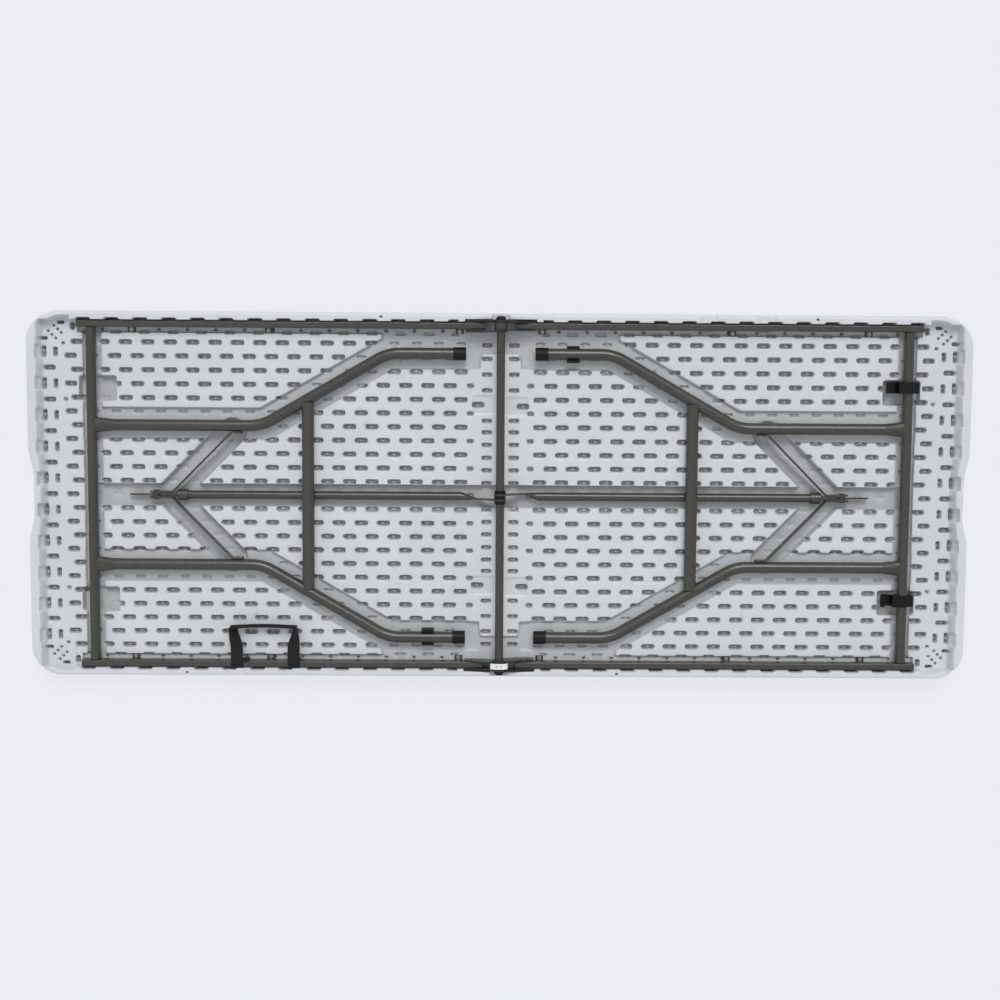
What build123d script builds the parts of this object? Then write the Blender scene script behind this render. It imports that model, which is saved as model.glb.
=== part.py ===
from build123d import *
import os
from math import atan2, cos, degrees, hypot, radians, sin, sqrt, tan

# Fold-in-half table with a moulded top, lying on its work surface with both leg frames folded in.
# X runs along the length, Y along the width, Z up from the work surface. The origin is the middle
# of the work surface. The two halves are alike: the left one is the right one turned half round
# about Z, so every piece is made once, for the right half, and written twice.

os.makedirs("parts", exist_ok=True)

# ---- Driving dimensions, millimetres -----------------------------------------------------------

# Moulded top
TOP_LENGTH = 1800.0
TOP_WIDTH = 700.0
TOP_THICKNESS = 48.0
TABLE_HEIGHT = 746.0
SEAM_GAP = 1.0
CORNER_RADIUS = 60.0
SEAM_CORNER_RADIUS = 8.0
EDGE_RADIUS = 4.0
PANEL_WALL = 2.8
SCOOP_DEPTH = 10.0
SCOOP_FLAT = 66.0
SCOOP_RUN = 62.0
END_RIM = 30.0
TRAY_CORNER_RADIUS = 38.0
PLATEAU_HEIGHT = 26.0
RAIL_SEAT = 19.0
DEEP_FLOOR = 10.0
BOSS_RADIUS = 7.0

# Side rails
RAIL_INSET = 25.0
RAIL_WIDTH = 12.0
RAIL_HEIGHT = 25.0
RAIL_WALL = 1.2
RAIL_CLEARANCE = 0.5
RAIL_BAND = 19.0
RAIL_START = 31.0
RAIL_PAST_PIVOT = 25.0
RAIL_SCREW_SPOTS = (47.5, 411.0, 672.0)
RAIL_TAB_WIDTH = 15.0
RAIL_TAB_REACH = 9.0
RAIL_TAB_THICKNESS = 2.0
SCREW_RADIUS = 2.0
SCREW_HOLE_RADIUS = 2.2
SCREW_HEAD_RADIUS = 4.2
SCREW_HEAD_HEIGHT = 2.4
SCREW_BITE = 11.0

# Centre hinge
FOLD_GAP = 0.5
AXLE_RADIUS = 8.0
AXLE_WALL = 1.5
RUN_CLEARANCE = 0.05
SIDE_CLEARANCE = 0.3
EYE_RADIUS = 13.0
CHEEK = 2.5
CHEEK_LAP = 36.0
CHEEK_MARGIN = 2.0
HINGE_RIVET_RADIUS = 2.5
HINGE_RIVET_SPOTS = (9.0, 26.0)
RIVET_HEAD_RADIUS = 4.5
RIVET_HEAD_HEIGHT = 1.5
SLEEVE_RADIUS = 12.0
AXLE_CAP_RADIUS = 9.5
AXLE_CAP_HEIGHT = 7.0
AXLE_CAP_DOME = 5.5
CAP_POCKET_HALF = 16.0
CAP_POCKET_FLOOR = 36.0
LABEL_WIDTH = 11.0
LABEL_RADIUS = 30.0
LABEL_HALF_ANGLE = 33.0
LABEL_THICKNESS = 0.5

# Leg frame
PIVOT_INSET = 122.0
PIVOT_DEPTH = 14.25
LEG_OPEN = 90.0
PIVOT_TUBE_RADIUS = 9.5
TUBE_WALL = 1.2
SPIGOT_RADIUS = 6.0
BUSH_WALL = 2.0
BUSH_FLANGE = 1.2
BUSH_FLANGE_RADIUS = 9.5
PIVOT_CHANNEL_WIDTH = 34.0
LEG_RADIUS = 11.0
LEG_INNER_Y = 133.5
LEG_FROM_RAIL = 46.5
LEG_SLANT = 30.0
LEG_STRAIGHT = 323.0
LEG_BEND_RADIUS = 85.0
LEG_CHANNEL_WIDTH = 54.0
LEG_TO_FLOOR = 5.0
FLARE_LENGTH = 42.0
FLARE_WIDTH = 31.0
FLARE_HEIGHT = 14.0
FOOT_LENGTH = 24.0
FOOT_WALL = 1.5
FOOT_FLOOR = 3.0
FOOT_POCKET_WIDTH = 56.0
FOOT_POCKET_MARGIN = 27.0
CROSSBAR_FROM_PIVOT = 411.5
CROSSBAR_WIDTH = 23.0
CROSSBAR_HEIGHT = 16.0
CROSSBAR_RISE = 4.5
CROSSBAR_LAP = 6.0

# Folding brace
BRACE_RADIUS = 8.0
BRACE_DROP = 12.5
BRACE_EYE_Y = 5.0
BRACE_EYE_RADIUS = 12.0
BRACE_PLATE = 3.0
BRACE_PLATE_HEIGHT = 15.0
BRACE_FLAT_END = 44.0
BRACE_ROUND_START = 74.0
BRACE_TUBE_BACK = 50.0
BRACE_CHANNEL_WIDTH = 38.0
TAB_FROM_PIVOT = 280.0
ARM_THICKNESS = 3.0
ARM_HEIGHT = 15.0
ARM_APEX_BACK = 32.0
ARM_TAIL = 5.0
ARM_TAB_LENGTH = 17.0
ARM_BEND_RADIUS = 6.0
ARM_CHANNEL_WIDTH = 48.0
TONGUE_THICKNESS = 3.0
TONGUE_REACH = 51.0
TONGUE_ROOT_RADIUS = 7.0
TONGUE_TIP_RADIUS = 4.5
EAR_THICKNESS = 2.0
EAR_HEIGHT = 14.0
EAR_LAP = 10.0
ELBOW_PIN_RADIUS = 3.0
PIN_HEAD_RADIUS = 5.5
PIN_HEAD_HEIGHT = 2.0
RING_LENGTH = 18.0
RING_WALL = 2.7
RING_LAP = 7.0
BUSH_LENGTH = 6.0
BRACE_BUSH_WALL = 2.5

# Leg clip
LEG_CLIP_FROM_FOOT = 72.0
LEG_CLIP_WIDTH = 23.0
LEG_CLIP_FINGER = 4.7
LEG_CLIP_LOW = 4.0
LEG_CLIP_HIGH = 12.0
LEG_CLIP_SCREW_BITE = 7.0

# Fold clips on the right cross tube. Each has slid along it, out from the middle of its pocket.
FOLD_POCKET_Y = 203.0
BACK_CLIP_SLIP = 10.5
FRONT_CLIP_SLIP = -6.0
FOLD_CLIP_WIDTH = 22.0
FOLD_CLIP_WALL = 3.5
FOLD_CLIP_MOUTH = 100.0
FOLD_CLIP_TAB = 21.0
FOLD_CLIP_TAB_THICKNESS = 4.0
FOLD_POCKET_WIDTH = 46.0
FOLD_POCKET_MARGIN = 3.0

# Webbing handle on the left half
HANDLE_FROM_LEG_BEND = 5.5
HANDLE_SPACING = 109.0
WEBBING_WIDTH = 23.0
LOOP_THICKNESS = 1.3
STRAP_THICKNESS = 1.8
STRAP_LIFT = 1.4
STRAP_REACH = 72.0
GRIP_THICKNESS = 9.0
GRIP_HEIGHT = 20.5
NOTCH_MARGIN = 3.5
NOTCH_CLEARANCE = 0.5

# ---- Places that follow from them --------------------------------------------------------------

END_X = TOP_LENGTH / 2
SIDE_Y = TOP_WIDTH / 2
SEAM_X = SEAM_GAP / 2
AXIS_Z = TOP_THICKNESS + FOLD_GAP / 2
RAIL_Y = SIDE_Y - RAIL_INSET
RAIL_OUTER_Y = RAIL_Y + RAIL_WIDTH / 2
RAIL_INNER_Y = RAIL_Y - RAIL_WIDTH / 2
RAIL_TOP = RAIL_SEAT + RAIL_HEIGHT
RIM_INNER_Y = RAIL_OUTER_Y + RAIL_CLEARANCE
PIVOT_X = END_X - PIVOT_INSET
PIVOT_Z = AXIS_Z - PIVOT_DEPTH
CHANNEL_FLOOR = PIVOT_Z - LEG_RADIUS - LEG_TO_FLOOR
RAIL_END = PIVOT_X + RAIL_PAST_PIVOT
BUSH_RADIUS = SPIGOT_RADIUS + RUN_CLEARANCE + BUSH_WALL
RAIL_SCREW_Y = RAIL_INNER_Y - RAIL_TAB_REACH / 2
SCREW_XS = [RAIL_START + spot for spot in RAIL_SCREW_SPOTS]
HINGE_RIVET_XS = [RAIL_START + spot for spot in HINGE_RIVET_SPOTS]
CHEEK_NEAR = CHEEK / 2
CHEEK_FAR = CHEEK + SIDE_CLEARANCE + CHEEK / 2
CHEEK_REACH = CHEEK_FAR + CHEEK / 2
AXLE_END_Y = RAIL_OUTER_Y + CHEEK_REACH + SIDE_CLEARANCE

LEG_OUTER_Y = RAIL_INNER_Y - LEG_FROM_RAIL
FOOT_X = PIVOT_X - (TABLE_HEIGHT - PIVOT_Z)
LEG_BEND_X = PIVOT_X - LEG_STRAIGHT
LEG_TURN_X = LEG_BEND_X - (LEG_OUTER_Y - LEG_INNER_Y) / tan(radians(LEG_SLANT))
CROSSBAR_X = PIVOT_X - CROSSBAR_FROM_PIVOT
CROSSBAR_Y = LEG_INNER_Y + (LEG_BEND_X - CROSSBAR_X) * tan(radians(LEG_SLANT))
CROSSBAR_Z = PIVOT_Z + CROSSBAR_RISE
LEG_CLIP_X = FOOT_X + LEG_CLIP_FROM_FOOT

TAB_X = PIVOT_X - TAB_FROM_PIVOT
ELBOW_Z = PIVOT_Z - BRACE_DROP


def elbow_position():
    """X of the elbow, where brace and V-link fold flat and also lie in line with the leg open."""
    open_x = PIVOT_X - TAB_FROM_PIVOT * cos(radians(LEG_OPEN))
    open_z = PIVOT_Z + TAB_FROM_PIVOT * sin(radians(LEG_OPEN))
    span = hypot(open_x, open_z - AXIS_Z)
    drop = ELBOW_Z - AXIS_Z
    rise = PIVOT_Z - ELBOW_Z
    total = span ** 2 + TAB_X ** 2 + rise ** 2 - drop ** 2
    square = 4 * (span ** 2 - TAB_X ** 2)
    linear = 4 * TAB_X * (total - 2 * span ** 2)
    constant = 4 * span ** 2 * (TAB_X ** 2 + rise ** 2) - total ** 2
    return (-linear + sqrt(linear ** 2 - 4 * square * constant)) / (2 * square)


ELBOW_X = elbow_position()
OPEN_ANGLE = degrees(atan2(
    PIVOT_Z + TAB_FROM_PIVOT * sin(radians(LEG_OPEN)) - AXIS_Z,
    PIVOT_X - TAB_FROM_PIVOT * cos(radians(LEG_OPEN)),
))
BRACE_SWING = OPEN_ANGLE - degrees(atan2(ELBOW_Z - AXIS_Z, ELBOW_X))
LINK_SWING = degrees(atan2(PIVOT_Z - ELBOW_Z, TAB_X - ELBOW_X)) - OPEN_ANGLE
TONGUE_ANGLE = BRACE_SWING + LINK_SWING - 180
EAR_INNER = TONGUE_THICKNESS / 2 + SIDE_CLEARANCE
EAR_OUTER = EAR_INNER + EAR_THICKNESS
TAIL_Y = EAR_OUTER + SIDE_CLEARANCE + ARM_THICKNESS / 2
TAB_Y = LEG_INNER_Y - LEG_RADIUS - SIDE_CLEARANCE - ARM_THICKNESS / 2
ARM_APEX_X = ELBOW_X - ARM_APEX_BACK
ARM_SPREAD_X = ARM_APEX_X - (TAB_Y - TAIL_Y)
BRACE_END_X = ELBOW_X - BRACE_TUBE_BACK
FOLD_CLIP_PITCH = 2 * PIVOT_DEPTH
FOLD_CLIP_BORE = PIVOT_TUBE_RADIUS + SIDE_CLEARANCE
FOLD_CLIP_RADIUS = FOLD_CLIP_BORE + FOLD_CLIP_WALL

FOLD_CLIP_YS = {"back": FOLD_POCKET_Y + BACK_CLIP_SLIP, "front": FOLD_POCKET_Y + FRONT_CLIP_SLIP}

HANDLE_X = LEG_BEND_X - HANDLE_FROM_LEG_BEND
HANDLE_XS = [HANDLE_X - HANDLE_SPACING / 2, HANDLE_X + HANDLE_SPACING / 2]
STRAP_Z = RAIL_TOP + LOOP_THICKNESS + STRAP_LIFT
NOTCH_FLOOR = STRAP_Z - STRAP_THICKNESS / 2 - NOTCH_CLEARANCE

SIDES = (("back", 1), ("front", -1))
ACROSS = {"back": "front", "front": "back"}


def export_pair(piece, name, place=None):
    """Write the piece of the right half, and the same piece turned half round for the left.

    A piece that stands at the back of the right half stands at the front of the left one.
    """
    for half, angle in (("right", 0), ("left", 180)):
        here = {"right": place, "left": ACROSS.get(place)}[half]
        words = [half, here, name] if here else [half, name]
        turned = piece.part.rotate(Axis.Z, angle)
        turned.label = "_".join(words)
        export_step(turned, f"parts/{turned.label}.step")


def export_one(piece, name):
    """Write a piece that the table has once."""
    piece.part.label = name
    export_step(piece.part, f"parts/{name}.step")


def side_plane(y):
    """A drawing plane facing the front, at this Y, with X across and Z up."""
    return Plane.XZ.offset(-y)


def strip(start, end, width):
    """A straight stretch of channel with round ends, drawn from one point to another."""
    run = hypot(end[0] - start[0], end[1] - start[1])
    angle = degrees(atan2(end[1] - start[1], end[0] - start[0]))
    with Locations(((start[0] + end[0]) / 2, (start[1] + end[1]) / 2)):
        SlotCenterToCenter(run, width, rotation=angle)


def block(x_low, x_high, y_low, y_high, mode=Mode.ADD):
    """A rectangle given by its two sides across and its two sides up."""
    with Locations(((x_low + x_high) / 2, (y_low + y_high) / 2)):
        Rectangle(x_high - x_low, y_high - y_low, mode=mode)


def disc(x, y, radius, mode=Mode.ADD):
    """A round area about a point."""
    with Locations((x, y)):
        Circle(radius, mode=mode)


# ---- Moulded top -------------------------------------------------------------------------------

def draw_top():
    """Plan of one half of the top: round outer corners and a shallow scoop in the end."""
    with BuildSketch() as plan:
        block(SEAM_X, END_X, -SIDE_Y, SIDE_Y)
        fillet(plan.vertices().group_by(Axis.X)[-1], CORNER_RADIUS)
        fillet(plan.vertices().group_by(Axis.X)[0], SEAM_CORNER_RADIUS)
        with BuildLine():
            for side in (1, -1):
                shoulder = (END_X, side * (SCOOP_FLAT / 2 + SCOOP_RUN))
                middle = (END_X - SCOOP_DEPTH / 2, side * (SCOOP_FLAT / 2 + SCOOP_RUN / 2))
                bottom = (END_X - SCOOP_DEPTH, side * SCOOP_FLAT / 2)
                TangentArc(shoulder, middle, tangent=(0, -side))
                TangentArc(bottom, middle, tangent=(0, side))
            Line((END_X - SCOOP_DEPTH, SCOOP_FLAT / 2), (END_X - SCOOP_DEPTH, -SCOOP_FLAT / 2))
            Line((END_X, SCOOP_FLAT / 2 + SCOOP_RUN), (END_X, -SCOOP_FLAT / 2 - SCOOP_RUN))
        make_face(mode=Mode.SUBTRACT)
    return plan.sketch


TOP_PLAN = draw_top()
OVER_SEAM = -TOP_THICKNESS
OVER_EDGE = SIDE_Y + TOP_THICKNESS


def tray(grow):
    """The hollow of the underside, inside the rims and open at the seam."""
    low = OVER_SEAM - TRAY_CORNER_RADIUS
    high = END_X - END_RIM + grow
    with Locations(((low + high) / 2, 0)):
        RectangleRounded(high - low, 2 * (RIM_INNER_Y + grow), TRAY_CORNER_RADIUS + grow)


def rail_bands(grow):
    """The seat of each side rail, with a strip of clear floor inside it."""
    for _, side in SIDES:
        near = side * (RAIL_INNER_Y - RAIL_BAND / 2 - grow)
        far = side * (RIM_INNER_Y + grow)
        block(OVER_SEAM, RAIL_END + RAIL_CLEARANCE + grow, min(near, far), max(near, far))


def pivot_channel(grow):
    """The channel across the top under the cross tube."""
    half = PIVOT_CHANNEL_WIDTH / 2 + grow
    block(PIVOT_X - half, PIVOT_X + half, -RIM_INNER_Y, RIM_INNER_Y)


def leg_channels(grow):
    """A channel along each leg tube."""
    width = LEG_CHANNEL_WIDTH + 2 * grow
    for _, side in SIDES:
        route = [
            (PIVOT_X, side * LEG_INNER_Y),
            (LEG_BEND_X, side * LEG_INNER_Y),
            (LEG_TURN_X, side * LEG_OUTER_Y),
            (FOOT_X, side * LEG_OUTER_Y),
        ]
        for start, end in zip(route, route[1:]):
            strip(start, end, width)


def foot_pockets(grow):
    """A square pocket round each foot."""
    for _, side in SIDES:
        middle = side * LEG_OUTER_Y
        half = FOOT_POCKET_WIDTH / 2 + grow
        low = FOOT_X - FOOT_POCKET_MARGIN - grow
        high = FOOT_X + FOOT_LENGTH + FOOT_POCKET_MARGIN / 2 + grow
        block(low, high, middle - half, middle + half)


def brace_channels(grow):
    """The deep channel under the brace, and one under each arm of the V-link."""
    half = BRACE_CHANNEL_WIDTH / 2 + grow
    block(OVER_SEAM, PIVOT_X, -half, half)
    for _, side in SIDES:
        start = (ARM_APEX_X, side * TAIL_Y)
        end = (ARM_SPREAD_X, side * TAB_Y)
        strip(start, end, ARM_CHANNEL_WIDTH + 2 * grow)


def fold_pockets(grow):
    """Room for the fold clips to lie and to swing."""
    low = PIVOT_X - FOLD_CLIP_PITCH - FOLD_CLIP_RADIUS - FOLD_POCKET_MARGIN - grow
    high = PIVOT_X + FOLD_CLIP_TAB + FOLD_POCKET_MARGIN + grow
    half = FOLD_POCKET_WIDTH / 2 + grow
    for _, side in SIDES:
        block(low, high, side * FOLD_POCKET_Y - half, side * FOLD_POCKET_Y + half)


def hinge_pockets(grow):
    """A slot in each long rim for the outer hinge cheeks."""
    high = RAIL_START + CHEEK_LAP + RAIL_CLEARANCE + grow
    for _, side in SIDES:
        near = side * RAIL_OUTER_Y
        far = side * (RAIL_OUTER_Y + CHEEK_REACH + RAIL_CLEARANCE + grow)
        block(OVER_SEAM, high, min(near, far), max(near, far))


def cap_pockets(grow):
    """An opening in each long rim for the end of the hinge axle."""
    for _, side in SIDES:
        near = side * RAIL_OUTER_Y
        far = side * OVER_EDGE
        block(OVER_SEAM, CAP_POCKET_HALF + grow, min(near, far), max(near, far))


def handle_notches(grow):
    """Shallow notches in the back rim of the right half; turned, they take the handle."""
    half = WEBBING_WIDTH / 2 + NOTCH_MARGIN + grow
    for x in HANDLE_XS:
        block(x - half, x + half, RAIL_OUTER_Y, OVER_EDGE)


def loop_grooves(grow):
    """Room for the handle's loops round the rail, under it and on its outer side."""
    half = WEBBING_WIDTH / 2 + SIDE_CLEARANCE + grow
    reach = LOOP_THICKNESS + SIDE_CLEARANCE + grow
    for x in HANDLE_XS:
        block(x - half, x + half, RAIL_INNER_Y - reach, RAIL_OUTER_Y + reach)


RECESSES = (
    (PLATEAU_HEIGHT, tray),
    (RAIL_SEAT, rail_bands),
    (CHANNEL_FLOOR, pivot_channel),
    (CHANNEL_FLOOR, leg_channels),
    (CHANNEL_FLOOR, foot_pockets),
    (DEEP_FLOOR, brace_channels),
    (DEEP_FLOOR, fold_pockets),
    (RAIL_SEAT, hinge_pockets),
    (CAP_POCKET_FLOOR, cap_pockets),
    (NOTCH_FLOOR, handle_notches),
    (RAIL_SEAT - LOOP_THICKNESS - SIDE_CLEARANCE, loop_grooves),
)


def cut_recesses(grow):
    """Cut every recess, grown on all its sides and its floor by this much."""
    for floor, draw in RECESSES:
        with BuildSketch(Plane.XY.offset(floor - grow)) as opening:
            draw(grow)
        extrude(opening.sketch, amount=2 * TOP_THICKNESS, mode=Mode.SUBTRACT)


def screw_places():
    """Each screw that goes into the right half: its place in plan and the height of its seat."""
    tab_seat = RAIL_SEAT + RAIL_TAB_THICKNESS
    clip_seat = CHANNEL_FLOOR + LEG_CLIP_LOW - SCREW_HEAD_HEIGHT
    tabs = [(x, side * RAIL_SCREW_Y, tab_seat) for x in SCREW_XS for _, side in SIDES]
    return tabs, [(LEG_CLIP_X, LEG_OUTER_Y, clip_seat)]


RAIL_SCREWS, CLIP_SCREWS = screw_places()
SCREW_ROWS = (
    (RAIL_SCREWS, RAIL_SEAT, SCREW_BITE),
    (CLIP_SCREWS, CHANNEL_FLOOR, LEG_CLIP_SCREW_BITE),
)

with BuildPart() as cavity:
    with BuildSketch(Plane.XY.offset(PANEL_WALL)):
        add(TOP_PLAN)
        offset(amount=-PANEL_WALL)
    extrude(amount=TOP_THICKNESS - 2 * PANEL_WALL)
    cut_recesses(PANEL_WALL)
    with BuildSketch():
        for x, y, _ in RAIL_SCREWS + CLIP_SCREWS:
            disc(x, y, BOSS_RADIUS)
    extrude(amount=TOP_THICKNESS, mode=Mode.SUBTRACT)

with BuildPart() as top_panel:
    add(TOP_PLAN)
    extrude(amount=TOP_THICKNESS)
    fillet(top_panel.faces().sort_by(Axis.Z)[0].edges(), EDGE_RADIUS)
    cut_recesses(0)
    for places, floor, bite in SCREW_ROWS:
        with BuildSketch(Plane.XY.offset(floor - bite)):
            for x, y, _ in places:
                disc(x, y, SCREW_RADIUS)
        extrude(amount=bite, mode=Mode.SUBTRACT)
    add(cavity.part, mode=Mode.SUBTRACT)
export_pair(top_panel, "top_panel")

# ---- Side rails and their screws ---------------------------------------------------------------

for place, side in SIDES:
    with BuildPart() as rail:
        with BuildSketch(Plane.YZ.offset(RAIL_START)):
            with Locations((side * RAIL_Y, RAIL_SEAT + RAIL_HEIGHT / 2)):
                RectangleRounded(RAIL_WIDTH, RAIL_HEIGHT, 2 * RAIL_WALL)
                RectangleRounded(
                    RAIL_WIDTH - 2 * RAIL_WALL, RAIL_HEIGHT - 2 * RAIL_WALL, RAIL_WALL,
                    mode=Mode.SUBTRACT,
                )
        extrude(amount=RAIL_END - RAIL_START)
        with BuildSketch(side_plane(side * RAIL_Y)):
            disc(PIVOT_X, PIVOT_Z, BUSH_RADIUS)
            for x in HINGE_RIVET_XS:
                disc(x, RAIL_SEAT + RAIL_HEIGHT / 2, HINGE_RIVET_RADIUS)
        extrude(amount=RAIL_WIDTH, both=True, mode=Mode.SUBTRACT)
        inner = side * (RAIL_INNER_Y + RAIL_WALL)
        tip = side * (RAIL_INNER_Y - RAIL_TAB_REACH)
        half = RAIL_TAB_WIDTH / 2
        with BuildSketch(Plane.XY.offset(RAIL_SEAT)):
            for x in SCREW_XS:
                block(x - half, x + half, min(inner, tip), max(inner, tip))
                disc(x, side * RAIL_SCREW_Y, SCREW_HOLE_RADIUS, mode=Mode.SUBTRACT)
        extrude(amount=RAIL_TAB_THICKNESS)
    export_pair(rail, "rail", place)

with BuildPart() as panel_screws:
    for places, floor, bite in SCREW_ROWS:
        for x, y, seat in places:
            with BuildSketch(Plane.XY.offset(floor - bite)):
                disc(x, y, SCREW_RADIUS)
            extrude(amount=seat - floor + bite)
            with BuildSketch(Plane.XY.offset(seat)):
                disc(x, y, SCREW_HEAD_RADIUS)
            extrude(amount=SCREW_HEAD_HEIGHT)
export_pair(panel_screws, "panel_screws")

# ---- Centre hinge ------------------------------------------------------------------------------

# The cheeks of the back hinge lie against the rail and those of the front hinge stand off it.
# Turned half round for the left half, the two kinds meet and nest at each side of the table.
CHEEK_STAND = {"back": CHEEK_NEAR, "front": CHEEK_FAR}

for place, side in SIDES:
    with BuildPart() as hinge:
        for face_y, outward in ((RAIL_OUTER_Y, 1), (RAIL_INNER_Y, -1)):
            plane = side_plane(side * (face_y + outward * CHEEK_STAND[place]))
            lap_middle = (RAIL_START + CHEEK_LAP / 2, RAIL_SEAT + RAIL_HEIGHT / 2)
            with BuildSketch(plane) as cheek:
                disc(0, AXIS_Z, EYE_RADIUS)
                with Locations(lap_middle):
                    Rectangle(CHEEK_LAP, RAIL_HEIGHT - 2 * CHEEK_MARGIN)
                make_hull()
            extrude(amount=CHEEK / 2, both=True)
            if CHEEK_STAND[place] > CHEEK_NEAR:
                spacer = CHEEK_STAND[place] - CHEEK / 2
                with BuildSketch(side_plane(side * (face_y + outward * spacer / 2))):
                    with Locations(lap_middle):
                        Rectangle(CHEEK_LAP, RAIL_HEIGHT - 2 * CHEEK_MARGIN)
                extrude(amount=spacer / 2, both=True)
        with BuildSketch(side_plane(side * RAIL_Y)):
            disc(0, AXIS_Z, AXLE_RADIUS + RUN_CLEARANCE)
            for x in HINGE_RIVET_XS:
                disc(x, RAIL_SEAT + RAIL_HEIGHT / 2, HINGE_RIVET_RADIUS)
        extrude(amount=RAIL_WIDTH, both=True, mode=Mode.SUBTRACT)
    export_pair(hinge, "hinge", place)

with BuildPart() as hinge_rivets:
    for place, side in SIDES:
        reach = RAIL_WIDTH / 2 + CHEEK_STAND[place] + CHEEK / 2
        head_y = RAIL_Y - reach - RIVET_HEAD_HEIGHT / 2
        for x in HINGE_RIVET_XS:
            with BuildSketch(side_plane(side * RAIL_Y)):
                disc(x, RAIL_SEAT + RAIL_HEIGHT / 2, HINGE_RIVET_RADIUS)
            extrude(amount=reach, both=True)
            with BuildSketch(side_plane(side * head_y)):
                disc(x, RAIL_SEAT + RAIL_HEIGHT / 2, RIVET_HEAD_RADIUS)
            extrude(amount=RIVET_HEAD_HEIGHT / 2, both=True)
export_pair(hinge_rivets, "hinge_rivets")

with BuildPart() as centre_axle:
    with BuildSketch(side_plane(0)):
        disc(0, AXIS_Z, AXLE_RADIUS)
        disc(0, AXIS_Z, AXLE_RADIUS - AXLE_WALL, mode=Mode.SUBTRACT)
    extrude(amount=AXLE_END_Y, both=True)
export_one(centre_axle, "centre_axle")

with BuildPart() as axle_caps:
    for _, side in SIDES:
        with BuildSketch(side_plane(side * (AXLE_END_Y + AXLE_CAP_HEIGHT / 2))):
            disc(0, AXIS_Z, AXLE_CAP_RADIUS)
        extrude(amount=AXLE_CAP_HEIGHT / 2, both=True)
        outer_edge = axle_caps.edges().sort_by(Axis.Y)[-1 if side > 0 else 0]
        fillet(outer_edge, AXLE_CAP_DOME)
export_one(axle_caps, "axle_caps")

with BuildPart() as axle_sleeves:
    for _, side in SIDES:
        with BuildSketch(side_plane(side * RAIL_Y)):
            disc(0, AXIS_Z, SLEEVE_RADIUS)
            disc(0, AXIS_Z, AXLE_RADIUS + RUN_CLEARANCE, mode=Mode.SUBTRACT)
        extrude(amount=RAIL_WIDTH / 2 - SIDE_CLEARANCE, both=True)
export_one(axle_sleeves, "axle_sleeves")

with BuildPart() as hinge_label:
    with BuildSketch(side_plane(-RAIL_Y)):
        centre = AXIS_Z + SLEEVE_RADIUS - LABEL_RADIUS
        with BuildLine():
            CenterArc((0, centre), LABEL_RADIUS, 90 - LABEL_HALF_ANGLE, 2 * LABEL_HALF_ANGLE)
            CenterArc(
                (0, centre), LABEL_RADIUS + LABEL_THICKNESS,
                90 - LABEL_HALF_ANGLE, 2 * LABEL_HALF_ANGLE,
            )
            for turn in (LABEL_HALF_ANGLE, -LABEL_HALF_ANGLE):
                slope = radians(90 + turn)
                inner = (LABEL_RADIUS * cos(slope), centre + LABEL_RADIUS * sin(slope))
                outer_radius = LABEL_RADIUS + LABEL_THICKNESS
                outer = (outer_radius * cos(slope), centre + outer_radius * sin(slope))
                Line(inner, outer)
        make_face()
    extrude(amount=LABEL_WIDTH / 2, both=True)
export_one(hinge_label, "hinge_label")

with BuildPart() as brace_bushes:
    eye_half = BRACE_PLATE / 2 + SIDE_CLEARANCE
    inner_half = BRACE_EYE_Y - eye_half
    outer_middle = BRACE_EYE_Y + eye_half + BUSH_LENGTH / 2
    outer_half = BUSH_LENGTH / 2
    for middle, half in ((0, inner_half), (outer_middle, outer_half), (-outer_middle, outer_half)):
        with BuildSketch(side_plane(middle)):
            disc(0, AXIS_Z, AXLE_RADIUS + BRACE_BUSH_WALL)
            disc(0, AXIS_Z, AXLE_RADIUS, mode=Mode.SUBTRACT)
        extrude(amount=half, both=True)
export_one(brace_bushes, "brace_bushes")

# ---- Leg frame ---------------------------------------------------------------------------------

PIVOT_END_Y = RAIL_INNER_Y - BUSH_FLANGE - SIDE_CLEARANCE

with BuildPart() as cross_tube:
    with BuildSketch(side_plane(0)):
        disc(PIVOT_X, PIVOT_Z, PIVOT_TUBE_RADIUS)
    extrude(amount=PIVOT_END_Y, both=True)
    with BuildSketch(side_plane(0)):
        disc(PIVOT_X, PIVOT_Z, SPIGOT_RADIUS)
    extrude(amount=RAIL_OUTER_Y - SIDE_CLEARANCE, both=True)
    with BuildSketch(side_plane(0)):
        disc(PIVOT_X, PIVOT_Z, SPIGOT_RADIUS - TUBE_WALL)
    extrude(amount=RAIL_OUTER_Y, both=True, mode=Mode.SUBTRACT)
    with BuildSketch(side_plane(0)):
        disc(PIVOT_X, PIVOT_Z, PIVOT_TUBE_RADIUS - TUBE_WALL)
    extrude(amount=PIVOT_END_Y - TUBE_WALL, both=True, mode=Mode.SUBTRACT)
export_pair(cross_tube, "cross_tube")

with BuildPart() as pivot_bushes:
    for _, side in SIDES:
        with BuildSketch(side_plane(side * RAIL_Y)):
            disc(PIVOT_X, PIVOT_Z, BUSH_RADIUS)
        extrude(amount=RAIL_WIDTH / 2, both=True)
        with BuildSketch(side_plane(side * (RAIL_INNER_Y - BUSH_FLANGE / 2))):
            disc(PIVOT_X, PIVOT_Z, BUSH_FLANGE_RADIUS)
        extrude(amount=BUSH_FLANGE / 2, both=True)
        with BuildSketch(side_plane(side * RAIL_Y)):
            disc(PIVOT_X, PIVOT_Z, SPIGOT_RADIUS + RUN_CLEARANCE)
        extrude(amount=RAIL_WIDTH, both=True, mode=Mode.SUBTRACT)
export_pair(pivot_bushes, "pivot_bushes")


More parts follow.
